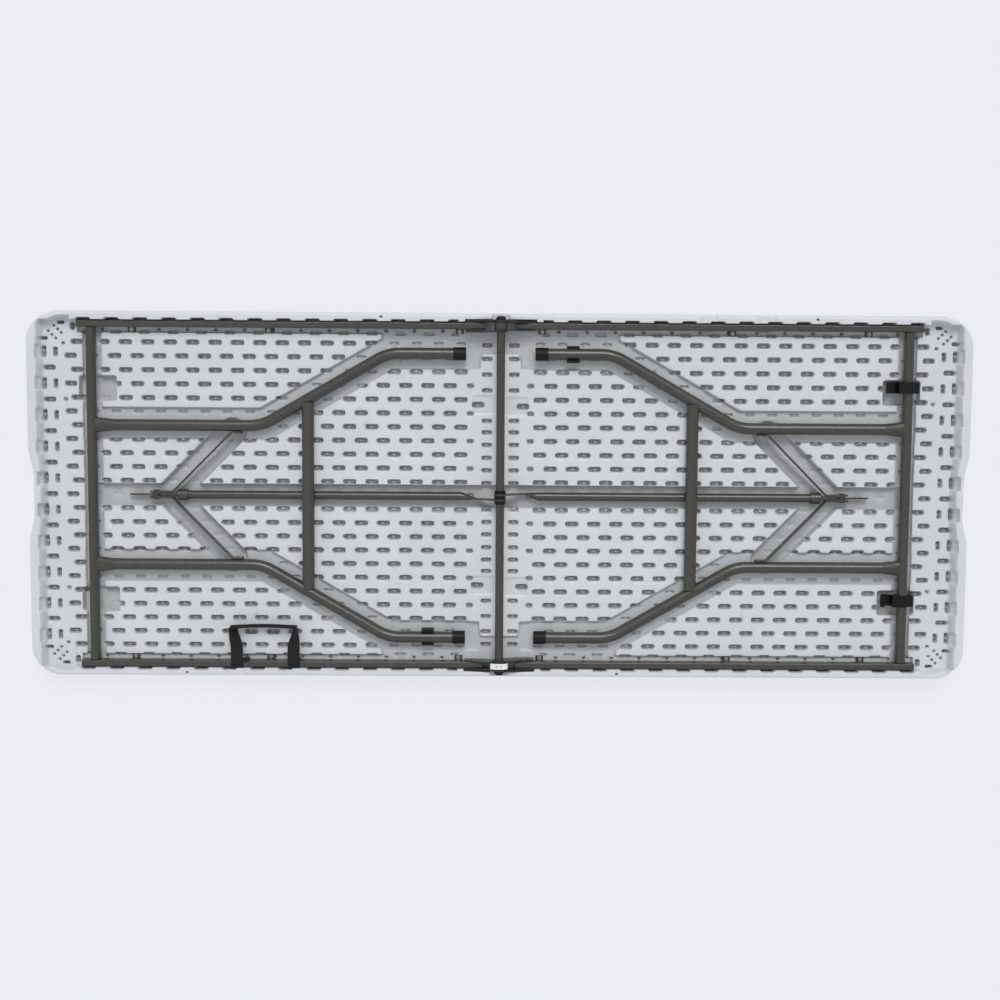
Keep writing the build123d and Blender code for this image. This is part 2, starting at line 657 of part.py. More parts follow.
def leg_pipe(side, radius, width, height):
    """One leg at this radius: the bent tube, and its end flattened to width by height."""
    flare_x = PIVOT_X - FLARE_LENGTH
    y = side * LEG_INNER_Y
    with BuildPart() as pipe:
        with BuildLine() as route:
            FilletPolyline(
                (flare_x, y, PIVOT_Z),
                (LEG_BEND_X, y, PIVOT_Z),
                (LEG_TURN_X, side * LEG_OUTER_Y, PIVOT_Z),
                (FOOT_X + FOOT_FLOOR, side * LEG_OUTER_Y, PIVOT_Z),
                radius=LEG_BEND_RADIUS,
            )
        with BuildSketch(Plane(origin=(flare_x, y, PIVOT_Z), x_dir=(0, 1, 0), z_dir=(-1, 0, 0))):
            Circle(radius)
        sweep(path=route.line)
        with BuildSketch(Plane(origin=(flare_x, y, PIVOT_Z), x_dir=(0, 1, 0), z_dir=(1, 0, 0))):
            Circle(radius)
        with BuildSketch(Plane(origin=(PIVOT_X, y, PIVOT_Z), x_dir=(0, 1, 0), z_dir=(1, 0, 0))):
            Ellipse(width / 2, height / 2)
        loft()
    return pipe.part


for place, side in SIDES:
    with BuildPart() as leg_tube:
        add(leg_pipe(side, LEG_RADIUS, FLARE_WIDTH, FLARE_HEIGHT))
        bore = 2 * TUBE_WALL
        add(
            leg_pipe(side, LEG_RADIUS - TUBE_WALL, FLARE_WIDTH - bore, FLARE_HEIGHT - bore),
            mode=Mode.SUBTRACT,
        )
        with BuildSketch(side_plane(0)):
            disc(PIVOT_X, PIVOT_Z, PIVOT_TUBE_RADIUS)
        extrude(amount=SIDE_Y, both=True, mode=Mode.SUBTRACT)
    export_pair(leg_tube, "leg_tube", place)

with BuildPart() as crossbar:
    section = side_plane(0)
    with BuildSketch(section):
        with Locations((CROSSBAR_X, CROSSBAR_Z)):
            SlotOverall(CROSSBAR_WIDTH, CROSSBAR_HEIGHT)
    extrude(amount=CROSSBAR_Y - CROSSBAR_LAP, both=True)
    with BuildSketch(section):
        with Locations((CROSSBAR_X, CROSSBAR_Z)):
            SlotOverall(CROSSBAR_WIDTH - 2 * TUBE_WALL, CROSSBAR_HEIGHT - 2 * TUBE_WALL)
    extrude(amount=CROSSBAR_Y, both=True, mode=Mode.SUBTRACT)
    for _, side in SIDES:
        add(leg_pipe(side, LEG_RADIUS, FLARE_WIDTH, FLARE_HEIGHT), mode=Mode.SUBTRACT)
export_pair(crossbar, "crossbar")

with BuildPart() as foot_caps:
    for _, side in SIDES:
        axis = (side * LEG_OUTER_Y, PIVOT_Z)
        with BuildSketch(Plane.YZ.offset(FOOT_X)):
            with Locations(axis):
                Circle(LEG_RADIUS + FOOT_WALL)
        extrude(amount=FOOT_LENGTH)
        with BuildSketch(Plane.YZ.offset(FOOT_X + FOOT_FLOOR)):
            with Locations(axis):
                Circle(LEG_RADIUS)
        extrude(amount=FOOT_LENGTH, mode=Mode.SUBTRACT)
export_pair(foot_caps, "foot_caps")

# ---- Folding brace -----------------------------------------------------------------------------

with BuildPart() as brace_tube:
    with BuildSketch(side_plane(BRACE_EYE_Y)):
        disc(0, AXIS_Z, BRACE_EYE_RADIUS)
        block(
            BRACE_FLAT_END - BRACE_PLATE, BRACE_FLAT_END,
            ELBOW_Z - BRACE_PLATE_HEIGHT / 2, ELBOW_Z + BRACE_PLATE_HEIGHT / 2,
        )
        make_hull()
        disc(0, AXIS_Z, AXLE_RADIUS + RUN_CLEARANCE, mode=Mode.SUBTRACT)
    extrude(amount=BRACE_PLATE / 2, both=True)
    with BuildSketch(Plane.YZ.offset(BRACE_FLAT_END)):
        with Locations((BRACE_EYE_Y, ELBOW_Z)):
            Rectangle(BRACE_PLATE, BRACE_PLATE_HEIGHT)
    with BuildSketch(Plane.YZ.offset(BRACE_ROUND_START)):
        disc(0, ELBOW_Z, BRACE_RADIUS)
    loft()
    with BuildSketch(Plane.YZ.offset(BRACE_ROUND_START)):
        disc(0, ELBOW_Z, BRACE_RADIUS)
    extrude(amount=BRACE_END_X - BRACE_ROUND_START)
    with BuildSketch(Plane.YZ.offset(BRACE_ROUND_START)):
        disc(0, ELBOW_Z, BRACE_RADIUS - TUBE_WALL)
    extrude(amount=BRACE_END_X - BRACE_ROUND_START, mode=Mode.SUBTRACT)
    for _, side in SIDES:
        with BuildSketch(side_plane(side * (EAR_INNER + EAR_THICKNESS / 2))):
            disc(ELBOW_X, ELBOW_Z, EAR_HEIGHT / 2)
            block(
                BRACE_END_X - EAR_LAP, ELBOW_X,
                ELBOW_Z - EAR_HEIGHT / 2, ELBOW_Z + EAR_HEIGHT / 2,
            )
            disc(ELBOW_X, ELBOW_Z, ELBOW_PIN_RADIUS + RUN_CLEARANCE, mode=Mode.SUBTRACT)
        extrude(amount=EAR_THICKNESS / 2, both=True)
export_pair(brace_tube, "brace_tube")

with BuildPart() as lock_ring:
    with BuildSketch(Plane.YZ.offset(BRACE_END_X + RING_LAP - RING_LENGTH)):
        disc(0, ELBOW_Z, BRACE_RADIUS + SIDE_CLEARANCE + RING_WALL)
        disc(0, ELBOW_Z, BRACE_RADIUS + SIDE_CLEARANCE, mode=Mode.SUBTRACT)
    extrude(amount=RING_LENGTH)
export_pair(lock_ring, "lock_ring")

for place, side in SIDES:
    tail_end = ELBOW_X + ARM_TAIL + ARM_HEIGHT / 2
    with BuildPart() as v_arm:
        with BuildLine() as route:
            FilletPolyline(
                (tail_end, side * TAIL_Y),
                (ARM_APEX_X, side * TAIL_Y),
                (ARM_SPREAD_X, side * TAB_Y),
                (TAB_X - ARM_TAB_LENGTH / 2, side * TAB_Y),
                radius=ARM_BEND_RADIUS,
            )
        with BuildSketch(Plane((tail_end, side * TAIL_Y, 0), x_dir=(0, 1, 0), z_dir=(-1, 0, 0))):
            Rectangle(ARM_THICKNESS, 4 * TOP_THICKNESS)
        sweep(path=route.line)
        with BuildSketch(side_plane(0)):
            disc(TAB_X, PIVOT_Z, ARM_HEIGHT / 2)
            disc(ELBOW_X + ARM_TAIL, ELBOW_Z, ARM_HEIGHT / 2)
            make_hull()
            disc(TAB_X, PIVOT_Z, ELBOW_PIN_RADIUS, mode=Mode.SUBTRACT)
            disc(ELBOW_X, ELBOW_Z, ELBOW_PIN_RADIUS, mode=Mode.SUBTRACT)
        extrude(amount=SIDE_Y, both=True, mode=Mode.INTERSECT)
    export_pair(v_arm, "v_arm", place)

with BuildPart() as lock_tongue:
    with BuildSketch(side_plane(0)):
        tip_run = TONGUE_REACH - TONGUE_TIP_RADIUS
        tip = (
            ELBOW_X + tip_run * cos(radians(TONGUE_ANGLE)),
            ELBOW_Z + tip_run * sin(radians(TONGUE_ANGLE)),
        )
        disc(ELBOW_X, ELBOW_Z, TONGUE_ROOT_RADIUS)
        with Locations(tip):
            Circle(TONGUE_TIP_RADIUS)
        make_hull()
        disc(ELBOW_X, ELBOW_Z, ELBOW_PIN_RADIUS, mode=Mode.SUBTRACT)
    extrude(amount=TONGUE_THICKNESS / 2, both=True)
export_pair(lock_tongue, "lock_tongue")

with BuildPart() as elbow_pin:
    head_y = TAIL_Y + ARM_THICKNESS / 2
    with BuildSketch(side_plane(0)):
        disc(ELBOW_X, ELBOW_Z, ELBOW_PIN_RADIUS)
    extrude(amount=head_y, both=True)
    for _, side in SIDES:
        with BuildSketch(side_plane(side * (head_y + PIN_HEAD_HEIGHT / 2))):
            disc(ELBOW_X, ELBOW_Z, PIN_HEAD_RADIUS)
        extrude(amount=PIN_HEAD_HEIGHT / 2, both=True)
export_pair(elbow_pin, "elbow_pin")

with BuildPart() as arm_rivets:
    for _, side in SIDES:
        with BuildSketch(side_plane(side * TAB_Y)):
            disc(TAB_X, PIVOT_Z, ELBOW_PIN_RADIUS)
        extrude(amount=ARM_THICKNESS / 2, both=True)
        head_middle = TAB_Y - ARM_THICKNESS / 2 - PIN_HEAD_HEIGHT / 2
        with BuildSketch(side_plane(side * head_middle)):
            disc(TAB_X, PIVOT_Z, PIN_HEAD_RADIUS)
        extrude(amount=PIN_HEAD_HEIGHT / 2, both=True)
export_pair(arm_rivets, "arm_rivets")

# ---- Leg clip ----------------------------------------------------------------------------------

with BuildPart() as leg_clip:
    bore = LEG_RADIUS + SIDE_CLEARANCE
    outer = bore + LEG_CLIP_FINGER
    with BuildSketch(Plane.YZ.offset(LEG_CLIP_X - LEG_CLIP_WIDTH / 2)):
        block(LEG_OUTER_Y - outer, LEG_OUTER_Y + outer, CHANNEL_FLOOR, PIVOT_Z + LEG_CLIP_LOW)
        block(LEG_OUTER_Y - outer, LEG_OUTER_Y, PIVOT_Z, PIVOT_Z + LEG_CLIP_HIGH)
        disc(LEG_OUTER_Y, PIVOT_Z, bore, mode=Mode.SUBTRACT)
        block(
            LEG_OUTER_Y - bore, LEG_OUTER_Y + bore, PIVOT_Z, 2 * PIVOT_Z,
            mode=Mode.SUBTRACT,
        )
    extrude(amount=LEG_CLIP_WIDTH)
    with BuildSketch():
        disc(LEG_CLIP_X, LEG_OUTER_Y, SCREW_HOLE_RADIUS)
    extrude(amount=PIVOT_Z, mode=Mode.SUBTRACT)
    with BuildSketch(Plane.XY.offset(CHANNEL_FLOOR + LEG_CLIP_LOW - SCREW_HEAD_HEIGHT)):
        disc(LEG_CLIP_X, LEG_OUTER_Y, SCREW_HEAD_RADIUS + SIDE_CLEARANCE)
    extrude(amount=PIVOT_Z / 2, mode=Mode.SUBTRACT)
export_pair(leg_clip, "leg_clip")

# ---- Fold clips --------------------------------------------------------------------------------

# Each clip hangs on the right cross tube. With the table folded it swings up, and its open hook
# takes the left cross tube.
for place, side in SIDES:
    with BuildPart() as fold_clip:
        hook_x = PIVOT_X - FOLD_CLIP_PITCH
        mouth = FOLD_CLIP_BORE * sin(radians(FOLD_CLIP_MOUTH / 2))
        with BuildSketch(side_plane(side * FOLD_CLIP_YS[place])):
            with Locations(((PIVOT_X + hook_x) / 2, PIVOT_Z)):
                SlotCenterToCenter(FOLD_CLIP_PITCH, 2 * FOLD_CLIP_RADIUS)
            block(
                PIVOT_X, PIVOT_X + FOLD_CLIP_TAB,
                PIVOT_Z - FOLD_CLIP_TAB_THICKNESS / 2, PIVOT_Z + FOLD_CLIP_TAB_THICKNESS / 2,
            )
            for x, direction in ((PIVOT_X, -1), (hook_x, 1)):
                disc(x, PIVOT_Z, FOLD_CLIP_BORE, mode=Mode.SUBTRACT)
                far = PIVOT_Z + direction * 2 * FOLD_CLIP_RADIUS
                block(
                    x - mouth, x + mouth, min(PIVOT_Z, far), max(PIVOT_Z, far),
                    mode=Mode.SUBTRACT,
                )
        extrude(amount=FOLD_CLIP_WIDTH / 2, both=True)
    export_one(fold_clip, f"{place}_fold_clip")

# ---- Webbing handle on the left half's front rail ----------------------------------------------

with BuildPart() as handle_loops:
    for x in HANDLE_XS:
        with BuildSketch(Plane.YZ.offset(-x - WEBBING_WIDTH / 2)):
            with Locations((-RAIL_Y, RAIL_SEAT + RAIL_HEIGHT / 2)):
                RectangleRounded(
                    RAIL_WIDTH + 2 * LOOP_THICKNESS, RAIL_HEIGHT + 2 * LOOP_THICKNESS,
                    2 * RAIL_WALL + LOOP_THICKNESS,
                )
                RectangleRounded(RAIL_WIDTH, RAIL_HEIGHT, 2 * RAIL_WALL, mode=Mode.SUBTRACT)
        extrude(amount=WEBBING_WIDTH)
export_one(handle_loops, "handle_loops")

with BuildPart() as handle_strap:
    for x in HANDLE_XS:
        with BuildSketch(Plane.YZ.offset(-x - WEBBING_WIDTH / 2)):
            block(
                -RAIL_Y, -RAIL_Y + STRAP_REACH,
                STRAP_Z - STRAP_THICKNESS / 2, STRAP_Z + STRAP_THICKNESS / 2,
            )
            disc(-RAIL_Y, STRAP_Z, STRAP_THICKNESS / 2)
        extrude(amount=WEBBING_WIDTH)
    with BuildSketch(Plane.YZ.offset(-HANDLE_XS[1] - WEBBING_WIDTH / 2)):
        top = STRAP_Z + STRAP_THICKNESS / 2
        block(
            -RAIL_Y + STRAP_REACH - GRIP_THICKNESS, -RAIL_Y + STRAP_REACH,
            top - GRIP_HEIGHT, top,
        )
    extrude(amount=HANDLE_SPACING + WEBBING_WIDTH)
export_one(handle_strap, "handle_strap")
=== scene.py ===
"""Fold-in-half table: moulded top in full relief, hammertone steel frame, webbing handle."""
import bmesh
import bpy
import numpy as np
from math import cos, pi, radians, sin
from mathutils import Matrix, Vector


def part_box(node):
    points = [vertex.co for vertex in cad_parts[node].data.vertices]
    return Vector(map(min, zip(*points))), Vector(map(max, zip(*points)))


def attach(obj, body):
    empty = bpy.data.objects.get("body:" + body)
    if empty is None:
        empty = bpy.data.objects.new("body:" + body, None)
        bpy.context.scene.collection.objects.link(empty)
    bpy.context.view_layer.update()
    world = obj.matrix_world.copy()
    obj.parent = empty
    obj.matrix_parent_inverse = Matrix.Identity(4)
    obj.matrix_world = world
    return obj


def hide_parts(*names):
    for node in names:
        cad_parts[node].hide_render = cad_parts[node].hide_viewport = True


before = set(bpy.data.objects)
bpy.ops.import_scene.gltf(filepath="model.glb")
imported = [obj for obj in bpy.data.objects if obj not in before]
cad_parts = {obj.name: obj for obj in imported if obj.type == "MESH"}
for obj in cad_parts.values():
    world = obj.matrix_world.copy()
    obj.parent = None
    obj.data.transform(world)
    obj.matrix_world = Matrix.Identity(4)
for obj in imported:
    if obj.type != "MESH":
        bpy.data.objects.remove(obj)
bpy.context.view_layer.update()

MM = 0.001

# ---- Places from the frame, in millimetres -----------------------------------------------------


def box_mm(node):
    """Lowest and highest corner of a CAD node, in millimetres."""
    low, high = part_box(node)
    return low / MM, high / MM


PANEL_LOW, PANEL_HIGH = box_mm("right_top_panel")
END_X, SIDE_Y, TOP_Z = PANEL_HIGH
SEAM_X = PANEL_LOW.x
RAIL_LOW, RAIL_HIGH = box_mm("right_back_rail")
RAIL_OUTER_Y = RAIL_HIGH.y
RAIL_WIDTH = 12.0
RAIL_INNER_Y = RAIL_OUTER_Y - RAIL_WIDTH
RAIL_SEAT = RAIL_LOW.z
RAIL_START, RAIL_END = RAIL_LOW.x, RAIL_HIGH.x
PIVOT_LOW, PIVOT_HIGH = box_mm("right_cross_tube")
PIVOT_X = (PIVOT_LOW.x + PIVOT_HIGH.x) / 2
PIVOT_Z = (PIVOT_LOW.z + PIVOT_HIGH.z) / 2
LEG_HIGH = box_mm("right_back_leg_tube")[1]
LEG_RADIUS = 11.0
LEG_OUTER_Y = LEG_HIGH.y - LEG_RADIUS
LEG_JOG = 139.0
LEG_INNER_Y = LEG_OUTER_Y - LEG_JOG
FOOT_LOW = box_mm("right_foot_caps")[0]
LEG_STRAIGHT = 323.0
LEG_SLANT = radians(30.0)
LEG_BEND_X = PIVOT_X - LEG_STRAIGHT
LEG_TURN_X = LEG_BEND_X - (LEG_OUTER_Y - LEG_INNER_Y) / np.tan(LEG_SLANT)
RING_HIGH = box_mm("right_lock_ring")[1]
ARM_LOW, ARM_HIGH = box_mm("right_back_v_arm")
STRAP_LOW, STRAP_HIGH = box_mm("handle_strap")
LOOPS_LOW, LOOPS_HIGH = box_mm("handle_loops")

# ---- Moulded top, millimetres ------------------------------------------------------------------

LABEL_RADIUS = 30.5
CORNER_RADIUS = 60.0
SCOOP_DEPTH = 10.0
SCOOP_FLAT = 66.0
SCOOP_RUN = 62.0
EDGE_INSET = 6.5
SEAM_INSET = 1.5
RIM_INNER_Y = RAIL_OUTER_Y + 0.5
RIM_FLAT = 13.5
END_WALL_RUN = 10.5
PLATEAU = 26.0
CHANNEL_FLOOR = 18.0
DEEP_FLOOR = 10.0
NOTCH_FLOOR = 45.3
LEG_CHANNEL_WIDTH = 59.0
WALL_RUN = 3.0
SOFT_RUN = 5.0

SLOT_LENGTH = 24.0
SLOT_WIDTH = 9.0
SLOT_DEPTH = 14.0
SLOT_PITCH = 42.6
ROW_PITCH = 26.45
ROW_COUNT = 12
ODD_START = 33.0
EVEN_START = 53.6
END_PITCH = 60.4

AWAY = 99.0             # an offset that puts a slot outside its own field, so nothing is pressed
PAST_SEAM = -50.0       # an X across the fold, so that a channel runs out through the seam
PAST_SIDE = SIDE_Y + 50.0
LEAST_HEIGHT = 3.5      # nothing is pressed deeper than this above the work surface

# Straight channels and pockets: X from and to, |Y| from and to.
CORNER_BAY = (700.0, END_X - 19.5, 200.0, SIDE_Y - 8.5)
CORNER_BAY_START = (815.0, 275.0)
CORNER_BAY_RUN = 9.5
RAIL_CHANNEL = (PAST_SEAM, RAIL_END + 1.5, RAIL_INNER_Y - 9.5, RIM_INNER_Y)
FOOT_END_CHANNEL = (PAST_SEAM, 226.0, LEG_OUTER_Y, RIM_INNER_Y)
PIVOT_HALF_WIDTH = 17.0
PIVOT_CHANNEL = (PIVOT_X - PIVOT_HALF_WIDTH, PIVOT_X + PIVOT_HALF_WIDTH, -9.0, RIM_INNER_Y)
FOOT_POCKET = (FOOT_LOW.x - 27.0, FOOT_LOW.x + 37.5, LEG_OUTER_Y - 28.0, LEG_OUTER_Y + 28.0)
BRACE_CHANNEL = (PAST_SEAM, PIVOT_X, -50.0, 20.5)
ARM_CHANNEL_FROM = (RING_HIGH.x + 11.0, 5.6)
ARM_CHANNEL_TO = (ARM_LOW.x + 23.0, ARM_HIGH.y - 1.5)
ARM_CHANNEL_WIDTH = 51.0
CLIP_POCKET = (PIVOT_X - 45.0, PIVOT_X + 24.0, 180.0, 226.0)
HINGE_GROOVE = (PAST_SEAM, RAIL_START + 36.5, RAIL_OUTER_Y, RAIL_OUTER_Y + 6.1)
AXLE_CAP_NOTCH = (PAST_SEAM, 16.6, RAIL_OUTER_Y, PAST_SIDE)
AXLE_CAP_FLOOR = 36.0
TIGHT_RUN = 1.2

# Slots and dimples of the underside.
SEAM_SLOT_X = 25.7
SEAM_SLOT_PLACES = (25, 50, 74, 99, 123, 145, 203, 233, 263, 289)
SEAM_SLOT_SIZE = (19.0, 7.5)
SEAM_SLOT_DEPTH = 0.8 * SLOT_DEPTH
RAIL_PITCH = 54.1
NOTCH_START, RAIL_SLOT_START, PIT_START = 735.4, 732.1, 759.8
NOTCH_HALF_LENGTH = 13.0
VENTS = ((600, 1), (227, -1))    # X, and the side it is on
VENT_Y = 341.0
LATCH_POCKETS = ((155, 190), (-193, -158))
DRILL_CENTRE = (END_X - 52, SIDE_Y - 41)
DRILL_PITCH, DRILL_ROWS_APART = 9.7, 14.7
DRILL_RADIUS, DRILL_DEPTH = 2.2, 9.0

# Outer wall below the rim's edge: how far out it stands, as a share of the inset, and its height.
WALL_PROFILE = (
    (0.22, 47.6), (0.38, 46.6), (0.48, 44.8), (0.62, 38.0), (0.85, 28.0), (1.0, 20.0),
    (1.0, 9.0), (0.95, 4.0), (0.78, 1.3), (0.5, 0.3), (0.1, 0.0),
)


def smooth(value):
    """Smooth step from 0 to 1 over the same range."""
    t = np.clip(value, 0.0, 1.0)
    return t * t * (3.0 - 2.0 * t)


def scoop(y):
    """How far the end edge stands back at this Y."""
    t = (SCOOP_FLAT / 2 + SCOOP_RUN - np.abs(y)) / SCOOP_RUN
    return SCOOP_DEPTH * smooth(t)


def end_line(y):
    """X of the rim's top edge at the outer end, round corners included."""
    radius = CORNER_RADIUS - EDGE_INSET
    over = np.clip(np.abs(y) - (SIDE_Y - CORNER_RADIUS), 0.0, radius)
    corner = END_X - CORNER_RADIUS + np.sqrt(np.maximum(radius ** 2 - over ** 2, 0.0))
    return corner - scoop(y)


def box_field(x, y, x_low, x_high, y_low, y_high, radius=0.0):
    """Distance to a rectangle with round corners, negative inside."""
    dx = np.abs(x - (x_low + x_high) / 2) - (x_high - x_low) / 2 + radius
    dy = np.abs(y - (y_low + y_high) / 2) - (y_high - y_low) / 2 + radius
    outside = np.hypot(np.maximum(dx, 0.0), np.maximum(dy, 0.0))
    return outside + np.minimum(np.maximum(dx, dy), 0.0) - radius


def strip_field(x, y, start, end, width):
    """Distance to a straight channel with round ends, negative inside."""
    run = np.array(end) - np.array(start)
    along = ((x - start[0]) * run[0] + (y - start[1]) * run[1]) / (run @ run)
    t = np.clip(along, 0.0, 1.0)
    return np.hypot(x - start[0] - t * run[0], y - start[1] - t * run[1]) - width / 2


def route_field(x, y, route, width):
    """Distance to a channel along a bent route, negative inside."""
    parts = [strip_field(x, y, a, b, width) for a, b in zip(route, route[1:])]
    return np.minimum.reduce(parts)


def sink(height, field, floor, run=WALL_RUN):
    """Lower the height to a floor inside a field, with a sloping wall centred on its line."""
    t = smooth(0.5 - field / run)
    return np.where(height > floor, height + (floor - height) * t, height)


def press(height, field, depth, run=2.4):
    """Press a dimple of this depth into the height."""
    return height - depth * smooth(0.5 - field / run)


def leg_route():
    """The middle of the leg's channel in plan, from the pivot to the foot."""
    inner = LEG_INNER_Y + 3.0    # the channel is wider on the outer side of the leg
    return [
        (PIVOT_X + 30, inner), (LEG_BEND_X - 4, inner),
        (LEG_TURN_X, LEG_OUTER_Y), (FOOT_LOW.x, LEG_OUTER_Y),
    ]


def recesses(x, y, height):
    """The tray and every channel and pocket in it."""
    side = np.abs(y)
    wall_top = END_X - EDGE_INSET - RIM_FLAT - scoop(y) / 2
    wall = smooth((wall_top - x) / END_WALL_RUN)
    rim = smooth((RIM_INNER_Y - side) / WALL_RUN + 0.5)
    corner = box_field(x, side, *CORNER_BAY, CORNER_RADIUS - 9.0)
    before_bay = np.maximum(CORNER_BAY_START[0] - x, CORNER_BAY_START[1] - side)
    corner = np.maximum(corner, before_bay * 3.0)
    tray = np.maximum(wall * rim, smooth(-corner / CORNER_BAY_RUN))
    height = height + (PLATEAU - height) * tray
    height = sink(height, box_field(x, side, *RAIL_CHANNEL), RAIL_SEAT)
    height = sink(height, box_field(x, side, *FOOT_END_CHANNEL, 6.0), RAIL_SEAT)
    height = sink(height, box_field(x, side, *PIVOT_CHANNEL), CHANNEL_FLOOR)
    leg = route_field(x, side, leg_route(), LEG_CHANNEL_WIDTH)
    leg = np.maximum(leg, x - PIVOT_X - PIVOT_HALF_WIDTH)
    height = sink(height, leg, CHANNEL_FLOOR, SOFT_RUN)
    foot = box_field(x, side, *FOOT_POCKET, 2.0)
    height = sink(height, foot, CHANNEL_FLOOR)
    height = press(height, foot + 1.5, 0.8, 1.5)
    height = sink(height, box_field(x, side, *BRACE_CHANNEL, 3.0), DEEP_FLOOR)
    arm = strip_field(x, side, ARM_CHANNEL_FROM, ARM_CHANNEL_TO, ARM_CHANNEL_WIDTH)
    height = sink(height, arm, DEEP_FLOOR, SOFT_RUN)
    height = sink(height, box_field(x, side, *CLIP_POCKET, 5.0), DEEP_FLOOR)
    height = sink(height, box_field(x, side, *HINGE_GROOVE), RAIL_SEAT, TIGHT_RUN)
    return sink(height, box_field(x, side, *AXLE_CAP_NOTCH), AXLE_CAP_FLOOR, TIGHT_RUN)


def slot_shape(x, y, length=SLOT_LENGTH, width=SLOT_WIDTH):
    """Distance to a round-ended slot about the origin, negative inside."""
    half = (length - width) / 2
    return np.hypot(np.maximum(np.abs(x) - half, 0.0), y) - width / 2


def tack_off(height, dx, dy, depth, length=SLOT_LENGTH, width=SLOT_WIDTH):
    """A pressed slot that is deep at both ends, with a saddle between them."""
    field = slot_shape(dx, dy, length, width)
    middle = ((dx - 0.05 * length) / (length * 0.17)) ** 2 + (dy / (width * 0.36)) ** 2
    saddle = 1.0 - 0.62 * np.exp(-middle)
    return height - depth * saddle * smooth(0.5 - field / 2.0)


def slot_rows(x, y, height):
    """The staggered field of slots from the fold to the cross tube, and one more in each row past it."""
    side = np.abs(y)
    row = np.clip(np.rint(side / ROW_PITCH), 0, ROW_COUNT - 1)
    odd = row % 2 == 1
    start = np.where(odd, ODD_START, EVEN_START)
    column = np.maximum(np.rint((x - start) / SLOT_PITCH), 1)
    dx = x - start - column * SLOT_PITCH
    dy = side - row * ROW_PITCH
    low = smooth((PLATEAU - 2.0 - height) / 4.0)
    depth = SLOT_DEPTH * (1.0 - 0.62 * low) * (x < PIVOT_X + 10)
    depth = depth * np.where(height < DEEP_FLOOR + 2, 0.35, 1.0)
    length = SLOT_LENGTH - 7.0 * low
    width = SLOT_WIDTH - 3.6 * low
    height = tack_off(height, dx, dy, depth, length, width)
    short = slot_shape(x - 57.6, np.where(odd, AWAY, dy), 12.0, 8.0)
    height = press(height, short, 0.8 * SLOT_DEPTH * (side < LEG_OUTER_Y - 30))
    last = x - np.where(odd, PIVOT_X + 28.5, PIVOT_X + 40.5)
    inside = (x > PIVOT_X + 10) & (side < (ROW_COUNT - 0.5) * ROW_PITCH)
    return tack_off(height, np.where(inside, last, AWAY), dy, SLOT_DEPTH, 22.0, SLOT_WIDTH)


def seam_column(x, y, height):
    """The column of slots beside the fold."""
    for place in SEAM_SLOT_PLACES:
        height = tack_off(height, x - SEAM_SLOT_X, np.abs(y) - place, SEAM_SLOT_DEPTH, *SEAM_SLOT_SIZE)
    return height


def end_zone(x, y, height):
    """Slots, bays and a dimple along the inner wall of the end rim."""
    side = np.abs(y)
    step = side - END_PITCH * np.rint(side / END_PITCH)
    between = side - END_PITCH * (np.floor(side / END_PITCH) + 0.5)
    slot_x = x - (END_X - 41.0)
    slot_x = np.where(side < 4.4 * END_PITCH, slot_x, AWAY)
    height = tack_off(height, slot_x, step, SLOT_DEPTH, 22, 8.5)
    inside = side < 4.75 * END_PITCH
    ledge = TOP_Z - 11.0 - (END_X - 20.0 - x)    # slopes down at 45 degrees, away from the rim
    bay = box_field(x, between, END_X - 34, END_X - 20.5, -12.8, 12.8, 2)
    cut = np.minimum(height, height + (ledge - height) * smooth(0.5 - bay / 2.0))
    height = np.where(inside, cut, height)
    for column, length in ((END_X - 30.5, 21), (END_X - 52.8, 17)):
        height = tack_off(height, between, np.where(inside, x - column, AWAY), SLOT_DEPTH, length, 7.5)
    dot = np.hypot(x - (END_X - 71), side - 3 * END_PITCH)
    return press(height, dot - 3.5, 8.0)


# Slots near each outer corner: distance from the end and from the side, length along X, along Y.
CORNER_SLOTS = ((86, 29.5, 8, 14), (63.6, 22.7, 13, 5.5), (31, 53, 13, 6))


def corner_details(x, y, height):
    """Slots and the drilled group in each outer corner."""
    side = np.abs(y)
    for from_end, from_side, along_x, along_y in CORNER_SLOTS:
        dx, dy = x - (END_X - from_end), side - (SIDE_Y - from_side)
        if along_x > along_y:
            height = tack_off(height, dx, dy, SLOT_DEPTH, along_x, along_y)
        else:
            height = tack_off(height, dy, dx, SLOT_DEPTH, along_y, along_x)
    across, along = radians(135), radians(45)
    centre = DRILL_CENTRE
    height = press(height, np.hypot(x - centre[0], side - centre[1]) - 17.5, 0.5, 1.5)
    for i in (-1, 0, 1):
        for j in (-0.5, 0.5):
            hole_x = centre[0] + DRILL_PITCH * i * cos(along) + DRILL_ROWS_APART * j * cos(across)
            hole_y = centre[1] + DRILL_PITCH * i * sin(along) + DRILL_ROWS_APART * j * sin(across)
            hole = np.hypot(x - hole_x, side - hole_y) - DRILL_RADIUS
            height = press(height, hole, DRILL_DEPTH, 1.6)
    lone = np.hypot(x - centre[0] + 15.5, side - centre[1] + 21) - 2.9
    return press(height, lone, DRILL_DEPTH, 1.8)


def repeated(x, start):
    """X measured from the nearest of the places that repeat along the rails."""
    return x - start - RAIL_PITCH * np.rint((x - start) / RAIL_PITCH)


